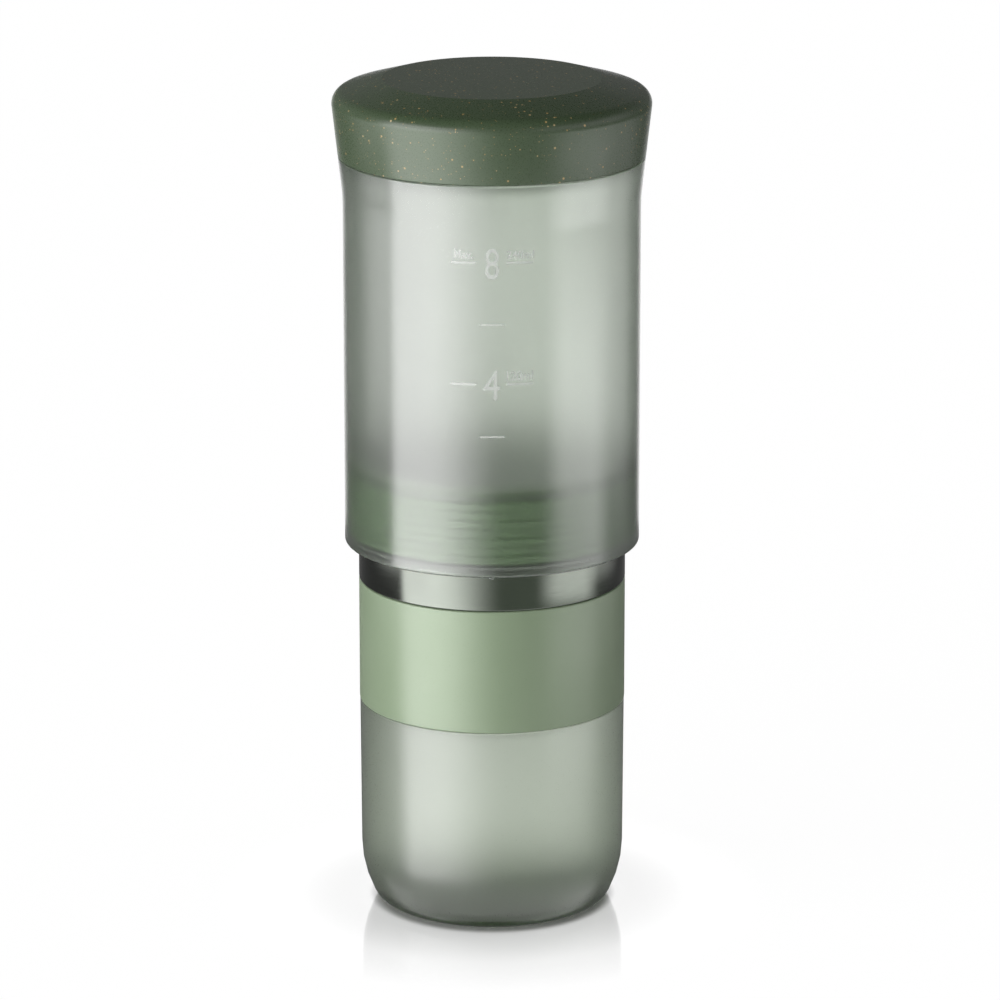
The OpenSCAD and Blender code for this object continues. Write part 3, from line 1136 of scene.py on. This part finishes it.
@dataclass
class ScalePrint:
    """The printed scale on the front of the chamber: dashes, ticks, numbers and small volumes."""

    wall_r: float
    rim: float
    ink_t: float = 0.05 * MM
    proud: float = 0.01 * MM
    dash_h: float = 0.55 * MM
    tick_h: float = 0.42 * MM
    slice_w: float = 0.5 * MM
    dashes: tuple[Point, ...] = ((-10.15 * MM, -3.85 * MM), (3.65 * MM, 10.2 * MM))
    dash_levels: Point = (80.5 * MM, 49.8 * MM)
    tick: Point = (-2.9 * MM, 3.15 * MM)
    tick_levels: Point = (64.9 * MM, 36.4 * MM)
    words: tuple[Word, ...] = (
        Word("8", 0.1 * MM, 76.4 * MM, 3.45 * MM, 7.75 * MM),
        Word("4", -0.05 * MM, 45.9 * MM, 4.1 * MM, 7.5 * MM),
        Word("Max.", -6.9 * MM, 81.5 * MM, 4.9 * MM, 2.3 * MM, SMALL_WEIGHT),
        Word("240ml", 7.1 * MM, 81.5 * MM, 6.9 * MM, 2.1 * MM, SMALL_WEIGHT),
        Word("120ml", 7.0 * MM, 50.8 * MM, 6.6 * MM, 2.3 * MM, SMALL_WEIGHT),
    )

    def build(self, material: Material) -> None:
        """Prints the scale.

        Args:
            material: The ink.
        """
        ink = bmesh.new()
        for level in self.dash_levels:
            for dash in self.dashes:
                self._bar(ink, dash, level, self.dash_h)
        for level in self.tick_levels:
            self._bar(ink, self.tick, level, self.tick_h)
        for word in self.words:
            self._word(ink, word)
        hand_over(ink, "scale_print", Body.CHAMBER, material)

    def _bar(self, ink: Mesh, ends: Point, height: float, thick: float) -> None:
        """Prints one level bar.

        Args:
            ink: The mesh that receives it.
            ends: Its left and right ends, across the front.
            height: Height of its middle above the rim.
            thick: Its thickness on the wall.
        """
        left, right = ends
        bar = bmesh.new()
        bmesh.ops.create_cube(bar, size=1.0)
        bmesh.ops.scale(bar, vec=(right - left, thick, self.ink_t), verts=bar.verts)
        bmesh.ops.translate(bar, vec=((left + right) / 2, height, self.ink_t / 2), verts=bar.verts)
        self._wrap(ink, bar)

    def _word(self, ink: Mesh, word: Word) -> None:
        """Prints a number or a short word.

        Args:
            ink: The mesh that receives it.
            word: What it says, and where.
        """
        curve = bpy.data.curves.new("scale_word", "FONT")
        curve.body = word.text
        curve.extrude = 0.5
        curve.offset = word.weight
        holder = bpy.data.objects.new("scale_word", curve)
        bpy.context.scene.collection.objects.link(holder)
        flat = bpy.data.meshes.new_from_object(holder.evaluated_get(bpy.context.evaluated_depsgraph_get()))
        letters = bmesh.new()
        letters.from_mesh(flat)
        bpy.data.objects.remove(holder)
        bpy.data.curves.remove(curve)
        bpy.data.meshes.remove(flat)
        low = Vector([min(vert.co[axis] for vert in letters.verts) for axis in range(3)])
        size = Vector([max(vert.co[axis] for vert in letters.verts) for axis in range(3)]) - low
        scale = (word.width / size.x, word.height / size.y, self.ink_t / size.z)
        bmesh.ops.translate(letters, vec=-low, verts=letters.verts)
        bmesh.ops.scale(letters, vec=scale, verts=letters.verts)
        bmesh.ops.translate(letters, vec=(word.middle - word.width / 2, word.foot, 0.0), verts=letters.verts)
        self._wrap(ink, letters)

    def _wrap(self, ink: Mesh, flat: Mesh) -> None:
        """Cuts a flat print into narrow slices and bends it round the wall.

        Args:
            ink: The mesh that receives it.
            flat: The print, as it lies across X, up Y and thick in Z. It is freed.
        """
        bmesh.ops.remove_doubles(flat, verts=flat.verts, dist=MERGE_DISTANCE)
        low = min(vert.co.x for vert in flat.verts)
        high = max(vert.co.x for vert in flat.verts)
        for cut in range(1, math.ceil((high - low) / self.slice_w)):
            bmesh.ops.bisect_plane(
                flat, geom=flat.verts[:] + flat.edges[:] + flat.faces[:],
                plane_co=(low + cut * self.slice_w, 0.0, 0.0), plane_no=(1.0, 0.0, 0.0),
            )
        for vert in flat.verts:
            angle = vert.co.x / self.wall_r
            reach = self.wall_r + self.proud + vert.co.z
            vert.co = (reach * math.sin(angle), -reach * math.cos(angle), self.rim + vert.co.y)
        pour_in(ink, flat)


@dataclass
class PressUnit:
    """The steel tube with its ribbed piston seal, and the coffee basket that hangs in it."""

    tube_wall: float = 0.8 * MM
    tube_edge: float = 0.3 * MM
    shoulder_h: float = 1.4 * MM
    shoulder_under: float = 0.05 * MM
    bend_r: float = 0.6 * MM
    top_r: float = 32.7 * MM
    collar_wall: float = 1.2 * MM
    thread_depth: float = 0.8 * MM
    thread_start: float = 3.0 * MM
    thread_turns: float = 0.572
    ribs: int = 4
    rib_h: float = 1.1 * MM
    rib_w: float = 2.8 * MM
    crest_w: float = 1.6 * MM
    lip_t: float = 1.5 * MM
    fit: float = 0.05 * MM
    basket_r: float = 31.2 * MM
    basket_wall: float = 0.6 * MM
    basket_ledge_w: float = 4.0 * MM
    tab_r: float = 29.9 * MM
    tab_z: float = 17.85 * MM
    tab_angle: float = math.radians(24)
    retainer_w: float = 2.0 * MM
    gasket_bore: float = 30.65 * MM

    def build(self, finishes: Finishes) -> None:
        """Builds the unit's pieces.

        Args:
            finishes: The brewer's finishes.
        """
        self._tube(finishes.tube)
        self._collar(finishes.inner)
        self._seal(finishes.seal)
        self._basket(finishes.basket)
        self._rings(finishes.seal)
        refinish("basket_filter", finishes.filter)

    def _tube(self, material: Material) -> None:
        """Spins the steel tube, drawn in at its upper end to carry the seal.

        Args:
            material: Its material.
        """
        at, seal = Place.of("press_tube"), Place.of("piston_seal")
        shoulder = seal.low - self.shoulder_under
        bore, top_bore = at.radius - self.tube_wall, self.top_r - self.tube_wall
        tube = spin_round([
            (bore, at.low, self.tube_edge),
            (at.radius, at.low, self.tube_edge),
            (at.radius, shoulder - self.shoulder_h, self.bend_r),
            (self.top_r, shoulder, SOFT),
            (self.top_r, at.high, self.tube_edge),
            (top_bore, at.high, self.tube_edge),
            (top_bore, shoulder - self.tube_wall, SOFT),
            (bore, shoulder - self.shoulder_h - self.tube_wall, SOFT),
        ])
        hand_over(tube, "steel_press_tube", Body.PRESS_UNIT, material, ["press_tube"])

    def _collar(self, material: Material) -> None:
        """Spins the threaded collar in the tube's lower end.

        Args:
            material: Its material.
        """
        at = Place.of("tube_collar")
        bore = at.radius - self.collar_wall
        collar = spin_round(ring_corners(at.radius, bore, at.low, at.high, PLAIN))
        Thread(bore, -self.thread_depth, at.low + self.thread_start, self.thread_turns).wind(collar)
        hand_over(
            collar, "threaded_tube_collar", Body.PRESS_UNIT, material, ["tube_collar"]
        )

    def _seal(self, material: Material) -> None:
        """Spins the piston seal with its ribs.

        Args:
            material: Its material.
        """
        at = Place.of("piston_seal")
        skin = at.radius - self.rib_h
        seat = self.top_r + self.fit
        lip_bore = self.basket_r + self.fit
        pitch = (at.high - at.low - self.rib_w) / (self.ribs - 1)
        corners: list[Corner] = [(seat, at.low, CRISP)]
        for rib in range(self.ribs):
            middle = at.low + self.rib_w / 2 + rib * pitch
            corners += [
                (skin, middle - self.rib_w / 2, FINE),
                (at.radius, middle - self.crest_w / 2, PLAIN),
                (at.radius, middle + self.crest_w / 2, PLAIN),
                (skin, middle + self.rib_w / 2, FINE),
            ]
        corners += [
            (lip_bore, at.high, CRISP),
            (lip_bore, at.high - self.lip_t, CRISP),
            (seat, at.high - self.lip_t, CRISP),
        ]
        seal = spin_round(corners)
        hand_over(seal, "ribbed_piston_seal", Body.PRESS_UNIT, material, ["piston_seal"])

    def _basket(self, material: Material) -> None:
        """Spins the coffee basket and sets the three tabs that hold the screen cap.

        Args:
            material: Its material.
        """
        at = Place.of("coffee_basket")
        bore = self.basket_r - self.basket_wall
        ledge = bore - self.basket_ledge_w
        floor = at.low + self.basket_wall
        flange = at.high - self.basket_wall
        basket = spin_round([
            (ledge, at.low, CRISP),
            (self.basket_r, at.low, SOFT),
            (self.basket_r, flange, CRISP),
            (at.radius, flange, CRISP),
            (at.radius, at.high, CRISP),
            (bore, at.high, PLAIN),
            (bore, floor, CRISP),
            (ledge, floor, CRISP),
        ])
        low = at.low + self.tab_z
        root = self.basket_r - self.basket_wall / 2
        tab = ring_corners(root, self.tab_r, low, low + self.basket_wall, FINE)
        for angle in LOCK_ANGLES:
            spin_sector(basket, tab, angle, self.tab_angle, HAIR)
        hand_over(
            basket, "steel_coffee_basket", Body.PRESS_UNIT, material, ["coffee_basket"]
        )

    def _rings(self, material: Material) -> None:
        """Spins the ring that holds the filter disc down and the gasket under the screen cap.

        Args:
            material: Their material.
        """
        held, gasket = Place.of("filter_retainer"), Place.of("screen_gasket")
        held_bore = held.radius - self.retainer_w
        ring = spin_round(ring_corners(held.radius, held_bore, held.low, held.high, EASED))
        hand_over(
            ring, "filter_hold_ring", Body.PRESS_UNIT, material, ["filter_retainer"]
        )
        ring = spin_round(ring_corners(gasket.radius, self.gasket_bore, gasket.low, gasket.high, PLAIN))
        hand_over(ring, "screen_seal_ring", Body.PRESS_UNIT, material, ["screen_gasket"])


@dataclass
class ScreenCap:
    """The cap that locks on the basket, and the shower screen in it."""

    skirt_r: float = 29.8 * MM
    wall: float = 1.2 * MM
    ledge_w: float = 1.6 * MM
    ledge_t: float = 1.2 * MM
    flange_z: float = 4.6 * MM
    flange_t: float = 1.5 * MM
    lug_r: float = 30.5 * MM
    lug_t: float = 0.8 * MM
    lug_angle: float = math.radians(20)
    ear_w: float = 2.8 * MM
    ear_setback: float = 0.4 * MM
    ear_angle: float = math.radians(30)

    def build(self, finishes: Finishes) -> None:
        """Builds the cap and finishes the screen.

        Args:
            finishes: The brewer's finishes.
        """
        at = Place.of("screen_cap")
        bore = self.skirt_r - self.wall
        ledge = bore - self.ledge_w
        flange = at.low + self.flange_z
        top = flange + self.flange_t
        cap = spin_round([
            (ledge, at.low, PLAIN),
            (self.skirt_r, at.low, PLAIN),
            (self.skirt_r, flange, CRISP),
            (at.radius, flange, EASED),
            (at.radius, top, ROUND),
            (bore, top, SOFT),
            (bore, at.low + self.ledge_t, CRISP),
            (ledge, at.low + self.ledge_t, PLAIN),
        ])
        lug = ring_corners(self.lug_r, self.skirt_r - self.wall / 2, at.low, at.low + self.lug_t, CRISP)
        for angle in LOCK_ANGLES:
            spin_sector(cap, lug, angle, self.lug_angle, FINE)
        ear_r = at.radius - self.ear_setback
        ear = ring_corners(ear_r, ear_r - self.ear_w, flange + self.flange_t / 2, at.high, ROUND)
        for angle in (0.0, math.pi):
            spin_sector(cap, ear, angle, self.ear_angle, SOFT)
        hand_over(cap, "screen_lock_cap", Body.SCREEN, finishes.cap, ["screen_cap"])
        refinish("shower_screen", finishes.screen)


@dataclass
class ServingCup:
    """The frosted cup with its threaded neck, the silicone grip band and the vented washer."""

    wall: float = 2.2 * MM
    floor_t: float = 3.5 * MM
    draft: float = 0.25 * MM
    radius: float = 33.9 * MM
    curve_r: float = 28.0 * MM
    curve_angle: float = math.radians(26.4)
    foot_r: float = 5.1 * MM
    recess_r: float = 22.0 * MM
    recess_h: float = 0.8 * MM
    ease_h: float = 4.0 * MM
    mouth_fillet: float = 3.0 * MM
    wall_fillet: float = 2.0 * MM
    seat_r: float = 32.4 * MM
    neck_r: float = 30.95 * MM
    neck_wall: float = 1.8 * MM
    thread_depth: float = 0.8 * MM
    thread_start: float = 2.7 * MM
    thread_turns: float = 0.6
    band_fit: float = 0.05 * MM
    band_edge: float = 0.4 * MM

    def build(self, finishes: Finishes) -> None:
        """Builds the cup and its band, and finishes the washer.

        Args:
            finishes: The brewer's finishes.
        """
        self._cup(finishes.cup)
        self._band(finishes.grip)
        refinish("vent_washer", finishes.grip)

    def _foot(self, inset: float, lift: float) -> list[Corner]:
        """Corners of the foot's two curves.

        Args:
            inset: How far they are drawn in from the outside.
            lift: How far they are raised.

        Returns:
            The corner at the table, then the one where the wall bends in.
        """
        curve_r, small_r = self.curve_r - inset, self.foot_r - inset
        curve_z = (self.curve_r - self.foot_r) * math.sin(self.curve_angle) + self.foot_r + lift
        wall_x = self.radius - self.draft - inset
        bend_z = curve_z - curve_r * math.tan(self.curve_angle / 2)
        foot_z = lift + inset
        foot_x = wall_x - (bend_z - foot_z) * math.tan(self.curve_angle)
        return [(foot_x, foot_z, small_r), (wall_x, bend_z, curve_r)]

    def _cup(self, material: Material) -> None:
        """Spins the cup and winds its neck's thread.

        Args:
            material: Its material.
        """
        at, band = Place.of("serving_cup"), Place.of("grip_band")
        low = band.low - self.band_fit
        bore = self.seat_r - self.wall
        mouth = self.neck_r - self.neck_wall
        inside = self._foot(self.wall, self.floor_t - self.wall)
        cup = spin_round([
            (0.0, self.recess_h, 0.0),
            (self.recess_r, self.recess_h, SOFT),
            (self.recess_r, at.low, EASED),
            *self._foot(0.0, 0.0),
            (self.radius, low, EASED),
            (self.seat_r, low, CRISP),
            (self.seat_r, band.high, EASED),
            (self.neck_r, band.high, EASED),
            (self.neck_r, at.high, self.neck_wall * LIP_SHARE),
            (mouth, at.high, self.neck_wall * LIP_SHARE),
            (mouth, band.high, self.mouth_fillet),
            (bore, band.high - self.ease_h, self.mouth_fillet),
            (bore, low + self.ease_h / 2, self.wall_fillet),
            (self.radius - self.wall, low - self.ease_h / 2, self.wall_fillet),
            *reversed(inside),
            (0.0, self.floor_t, 0.0),
        ])
        Thread(self.neck_r, self.thread_depth, band.high + self.thread_start, self.thread_turns).wind(cup)
        hand_over(cup, "frosted_serving_cup", Body.CUP, material, ["serving_cup"])

    def _band(self, material: Material) -> None:
        """Spins the grip band.

        Args:
            material: Its material.
        """
        at = Place.of("grip_band")
        seat = self.seat_r + self.band_fit
        band = spin_round([
            (seat, at.low, HAIR),
            (at.radius, at.low, self.band_edge),
            (at.radius, at.high, self.band_edge),
            (seat, at.high, HAIR),
        ])
        hand_over(band, "silicone_grip_band", Body.CUP, material, ["grip_band"])


# The studio


@dataclass(frozen=True)
class SoftPanel:
    """A large soft light in the studio, given by the directions that it fills, in degrees.

    Azimuth 0 is the camera's side and grows to the right; the edges are how far each side fades.
    """

    azimuth: Point
    edges: Point
    elevation: Point
    strength: float
    fade: float = 8.0

    def glow(self, nodes: Nodes, azimuth: Socket, elevation: Socket) -> Socket:
        """Its light in a direction.

        Args:
            nodes: Tree of the world or of a card.
            azimuth: Angle of the direction round the brewer.
            elevation: Angle of the direction over the horizon, or height on a card.

        Returns:
            The strength there.
        """
        (left, right), (low, high) = self.azimuth, self.elevation
        return nodes.compute(
            "MULTIPLY",
            nodes.spread(azimuth, (left, left + self.edges[0]), smooth=True),
            nodes.spread(azimuth, (right, right - self.edges[1]), smooth=True),
            nodes.spread(elevation, (low, low + self.fade), smooth=True),
            nodes.spread(elevation, (high, high - self.fade), smooth=True),
            self.strength,
        )


class Rays(Enum):
    """The one kind of ray that meets a card of the studio."""

    REFLECTED = "glossy"
    THROUGH = "transmission"


@dataclass(frozen=True)
class Card:
    """A glowing sheet bent round the brewer at some distance.

    The azimuths of its panel count from the card's middle, and its heights are in millimetres.
    """

    name: str
    radius: float
    middle: float
    panel: SoftPanel
    rays: Rays = Rays.REFLECTED

    def sheet(self) -> Mesh:
        """Bends the sheet.

        Returns:
            Its mesh.
        """
        (left, right), (low, high) = self.panel.azimuth, self.panel.elevation
        sheet = bmesh.new()
        first = math.radians(self.middle + left) - math.pi / 2
        across = Vector((math.cos(first), math.sin(first), 0.0)) * self.radius
        ends = [sheet.verts.new(across + UP * (height * MM)) for height in (low, high)]
        edge = sheet.edges.new(ends)
        bmesh.ops.spin(
            sheet, geom=[*ends, edge], cent=(0, 0, 0), axis=UP,
            angle=math.radians(right - left), steps=CARD_STEPS,
        )
        return sheet

    def material(self) -> Material:
        """Builds its light, which adds to what is behind the card.

        Returns:
            The material.
        """
        material = bpy.data.materials.new(f"{self.name}_finish")
        material.use_nodes = True
        material.cycles.emission_sampling = "NONE"
        nodes = Nodes(material.node_tree)
        turned = nodes.add("ShaderNodeVectorRotate", rotation_type="Z_AXIS")
        nodes.feed(turned.inputs["Vector"], nodes.add("ShaderNodeTexCoord").outputs["Object"])
        turned.inputs["Angle"].default_value = -math.radians(self.middle)
        azimuth, rise = nodes.azimuth(turned.outputs["Vector"])
        height = nodes.compute("MULTIPLY", rise, PER_MM)
        light = nodes.add("ShaderNodeEmission")
        nodes.feed(light.inputs["Strength"], self.panel.glow(nodes, azimuth, height))
        both = nodes.add_shaders(light, nodes.add("ShaderNodeBsdfTransparent"))
        nodes.feed(nodes.add("ShaderNodeOutputMaterial").inputs["Surface"], both.outputs["Shader"])
        return material


@dataclass
class Studio:
    """Camera, pale floor, soft panels and cards.

    The floor's fades are distances from the brewer's axis, and its pairs of values go from near to far.
    """

    camera_distance: float = 1.4
    camera_pitch: float = math.radians(15.61)
    camera_lens: float = 197.7
    sensor_w: float = 36.0
    camera_range: float = 20.0
    aim_x: float = 2.04 * MM
    aim_z: float = 105.71 * MM
    floor_reach: float = 3.0
    floor_white: float = 1.06
    # Matt colour of the floor, near and far: darker close round the foot, a painted contact shadow
    painted_contact_shade: Point = (0.4, 0.9)
    floor_matte: Point = (0.95, 0.08)
    matte_fade: Point = (29.0 * MM, 33.5 * MM)
    shadow_tail: Point = (0.3, 0.0)
    tail_fade: Point = (33.5 * MM, 62.0 * MM)
    floor_gloss: float = 0.36
    gloss_fade: Point = (28.0 * MM, 72.0 * MM)
    gloss_roughness: float = 0.06
    clear_of: Point = (5.0 * MM, 25.0 * MM)
    glow_fade: Point = (110.0 * MM, 230.0 * MM)
    floor_level: float = 1.0
    backdrop: Point = (128.0, 163.0)
    backdrop_level: float = 0.06
    ambient: SoftPanel = SoftPanel(ALL_ROUND, NARROW_EDGES, (-120.0, 50.0), 0.12, 14.0)
    key: SoftPanel = SoftPanel((-90.0, -2.0), (14.0, 46.0), (-4.0, 33.0), 5.6)
    fill: SoftPanel = SoftPanel((20.0, 130.0), (30.0, 40.0), (-4.0, 33.0), 1.0)
    sky: SoftPanel = SoftPanel(ALL_ROUND, NARROW_EDGES, (0.0, 30.0), 0.07)
    mirrored: float = 0.7
    ground: SoftPanel = SoftPanel((-70.0, 130.0), (40.0, 60.0), (-55.0, 4.0), 0.27)
    below: SoftPanel = SoftPanel((-130.0, 130.0), (20.0, 20.0), (-80.0, -24.0), 1.25, 14.0)
    ground_tint: Colour = (0.8, 1.0, 0.74)
    cards: tuple[Card, ...] = (
        Card("key_glint", CARD_R, -39.0, SoftPanel((-47.5, 49.0), (8.0, 62.0), (-400.0, 340.0), 4.4, 100.0)),
        Card("key_low", CARD_R, -39.0, SoftPanel((-44.0, 49.0), (10.0, 62.0), (-440.0, -268.0), 3.6, 30.0)),
        Card("key_spill", CARD_R, -107.0, SoftPanel((-20.0, 24.0), (36.0, 6.0), (-155.0, 190.0), 1.6, 30.0)),
        Card("fill_glint", CARD_R, 72.0, SoftPanel((-36.0, 34.0), (24.0, 22.0), (-246.0, -20.0), 2.6, 36.0)),
        Card("fill_spill", CARD_R, 115.0, SoftPanel((-27.0, 27.0), (12.0, 36.0), (-185.0, 20.0), 1.0, 30.0)),
        Card("mirror_back", 0.35, 180.0, SoftPanel((-34.0, 34.0), (20.0, 20.0), (0.0, 200.0), 1.0, 1.0)),
        Card(
            "back_light", 0.06, 174.0,
            SoftPanel((-12.0, 12.0), (10.0, 10.0), (25.0, 260.0), 1.2, 50.0), Rays.THROUGH,
        ),
    )

    def build(self) -> None:
        """Sets the camera, the colour management, the world, the floor and the cards."""
        self._camera()
        bpy.context.scene.view_settings.view_transform = "Standard"
        self._world()
        self._floor()
        for card in self.cards:
            self._stand(card)

    def _camera(self) -> None:
        """Sets the camera at the photograph's angle, without shift."""
        data = bpy.data.cameras.new("studio_camera")
        data.lens = self.camera_lens
        data.sensor_width = self.sensor_w
        data.clip_end = self.camera_range
        camera = bpy.data.objects.new("studio_camera", data)
        bpy.context.scene.collection.objects.link(camera)
        away = Vector((0.0, -math.cos(self.camera_pitch), math.sin(self.camera_pitch)))
        camera.location = Vector((self.aim_x, 0.0, self.aim_z)) + away * self.camera_distance
        camera.rotation_euler = (-away).to_track_quat("-Z", "Y").to_euler()
        bpy.context.scene.camera = camera

    def _world(self) -> None:
        """Lights the studio from soft panels, in front of a white background."""
        world = bpy.data.worlds.new("studio_world")
        world.use_nodes = True
        bpy.context.scene.world = world
        nodes = Nodes(world.node_tree)
        azimuth, rise = nodes.azimuth(nodes.add("ShaderNodeTexCoord").outputs["Generated"])
        elevation = nodes.compute("DEGREES", nodes.compute("ARCSINE", rise))
        panels = (self.ambient, self.key, self.fill, self.sky, self.below)
        ambient, key, fill, sky, below = (panel.glow(nodes, azimuth, elevation) for panel in panels)
        glossy = nodes.add("ShaderNodeLightPath").outputs["Is Glossy Ray"]
        share = nodes.spread(glossy, (0.0, 1.0), (1.0, self.mirrored))
        lamps = nodes.compute("MULTIPLY", nodes.compute("ADD", key, fill), share)
        light = nodes.compute("ADD", ambient, sky, lamps, below)
        seen = self._white_for(nodes, azimuth, self.backdrop_level)
        strength = nodes.add("ShaderNodeMix", data_type="FLOAT")
        nodes.feed(strength.inputs["Factor"], seen)
        nodes.feed(strength.inputs[2], light)
        strength.inputs[3].default_value = 1.0
        plain = nodes.add("ShaderNodeBackground")
        plain.inputs["Color"].default_value = (1.0, 1.0, 1.0, 1.0)
        nodes.feed(plain.inputs["Strength"], strength.outputs[0])
        ground = nodes.add("ShaderNodeBackground")
        ground.inputs["Color"].default_value = (*self.ground_tint, 1.0)
        glow = self.ground.glow(nodes, azimuth, elevation)
        unseen = nodes.compute("SUBTRACT", 1.0, seen)
        nodes.feed(ground.inputs["Strength"], nodes.compute("MULTIPLY", glow, unseen))
        both = nodes.add_shaders(plain, ground)
        nodes.feed(nodes.add("ShaderNodeOutputWorld").inputs["Surface"], both.outputs["Shader"])

    def _white_for(self, nodes: Nodes, azimuth: Socket, level: object) -> Socket:
        """Where a ray meets plain white: from the camera, or through the brewer to what is behind it.

        Args:
            nodes: Tree of the world or the floor.
            azimuth: Angle of the place or direction that the ray meets.
            level: How white it is where it is seen through the brewer.

        Returns:
            1 for plain white and 0 for none.
        """
        path = nodes.add("ShaderNodeLightPath")
        behind = nodes.spread(nodes.compute("ABSOLUTE", azimuth), self.backdrop, smooth=True)
        through = nodes.compute("MULTIPLY", path.outputs["Is Transmission Ray"], behind, level)
        return nodes.compute("MAXIMUM", path.outputs["Is Camera Ray"], through)

    def _floor(self) -> None:
        """Lays the pale floor, which keeps the brewer's shadow, deepened by a painted contact shadow round
        the foot, and a faint mirror image.
        """
        plane = bmesh.new()
        bmesh.ops.create_grid(plane, x_segments=2, y_segments=2, size=self.floor_reach)
        floor = self._set_up(plane, "studio_floor", self._floor_material())
        floor.visible_glossy = False

    def _stand(self, card: Card) -> None:
        """Stands a card in the studio.

        Args:
            card: The card.
        """
        made = self._set_up(card.sheet(), card.name, card.material())
        for kind in ("camera", "diffuse", "glossy", "transmission", "volume_scatter", "shadow"):
            setattr(made, f"visible_{kind}", kind == card.rays.value)

    @staticmethod
    def _set_up(plane: Mesh, name: str, material: Material) -> bpy.types.Object:
        """Puts a plane in the studio, apart from the brewer.

        Args:
            plane: The plane, which is freed.
            name: Its name.
            material: Its material.

        Returns:
            The object.
        """
        data = bpy.data.meshes.new(name)
        plane.to_mesh(data)
        plane.free()
        data.materials.append(material)
        made = bpy.data.objects.new(name, data)
        bpy.context.scene.collection.objects.link(made)
        return made

    def _floor_material(self) -> Material:
        """White acrylic: bright where it is seen, matt for the light it throws back, with a painted contact
        shadow round the foot.

        Returns:
            The material.
        """
        material = bpy.data.materials.new("studio_floor_finish")
        material.use_nodes = True
        nodes = Nodes(material.node_tree)
        white = nodes.add("ShaderNodeEmission")
        white.inputs["Strength"].default_value = self.floor_white
        matte = nodes.add("ShaderNodeBsdfDiffuse")
        gloss = nodes.add("ShaderNodeBsdfAnisotropic")
        gloss.inputs["Roughness"].default_value = self.gloss_roughness
        gloss.inputs["Color"].default_value = (1.0, 1.0, 1.0, 1.0)
        place = nodes.add("ShaderNodeTexCoord").outputs["Object"]
        length = nodes.add("ShaderNodeVectorMath", operation="LENGTH")
        nodes.feed(length.inputs[0], place)
        reach = length.outputs["Value"]
        # The matt colour is painted darker close round the foot: a painted contact shadow
        nodes.feed(matte.inputs["Color"], nodes.spread(reach, self.matte_fade, self.painted_contact_shade))
        mirror = nodes.spread(reach, self.gloss_fade, (self.floor_gloss, 0.0))
        clear = nodes.spread(reach, self.clear_of, smooth=True)
        levels = (self.floor_level, self.backdrop_level)
        level = nodes.spread(reach, self.glow_fade, levels, smooth=True)
        seen = self._white_for(nodes, nodes.azimuth(place)[0], nodes.compute("MULTIPLY", clear, level))
        shadowed = nodes.spread(reach, self.matte_fade, self.floor_matte, smooth=True)
        tail = nodes.spread(reach, self.tail_fade, self.shadow_tail, smooth=True)
        shadowed = nodes.compute("MAXIMUM", shadowed, tail)
        direct = nodes.add("ShaderNodeLightPath").outputs["Is Camera Ray"]
        pale = nodes.mix_shaders(nodes.compute("MULTIPLY", shadowed, direct), white, matte)
        chosen = nodes.mix_shaders(seen, matte, nodes.mix_shaders(mirror, pale, gloss))
        nodes.feed(nodes.add("ShaderNodeOutputMaterial").inputs["Surface"], chosen.outputs["Shader"])
        return material


def main() -> None:
    """Builds the studio and the brewer, from the lid down."""
    logging.basicConfig(level=logging.INFO, format="%(name)s: %(message)s")
    Studio().build()
    finishes = Finishes()
    for assembly in (Lid(), WaterChamber(), PressUnit(), ScreenCap(), ServingCup()):
        assembly.build(finishes)


if __name__ == "__main__":
    main()
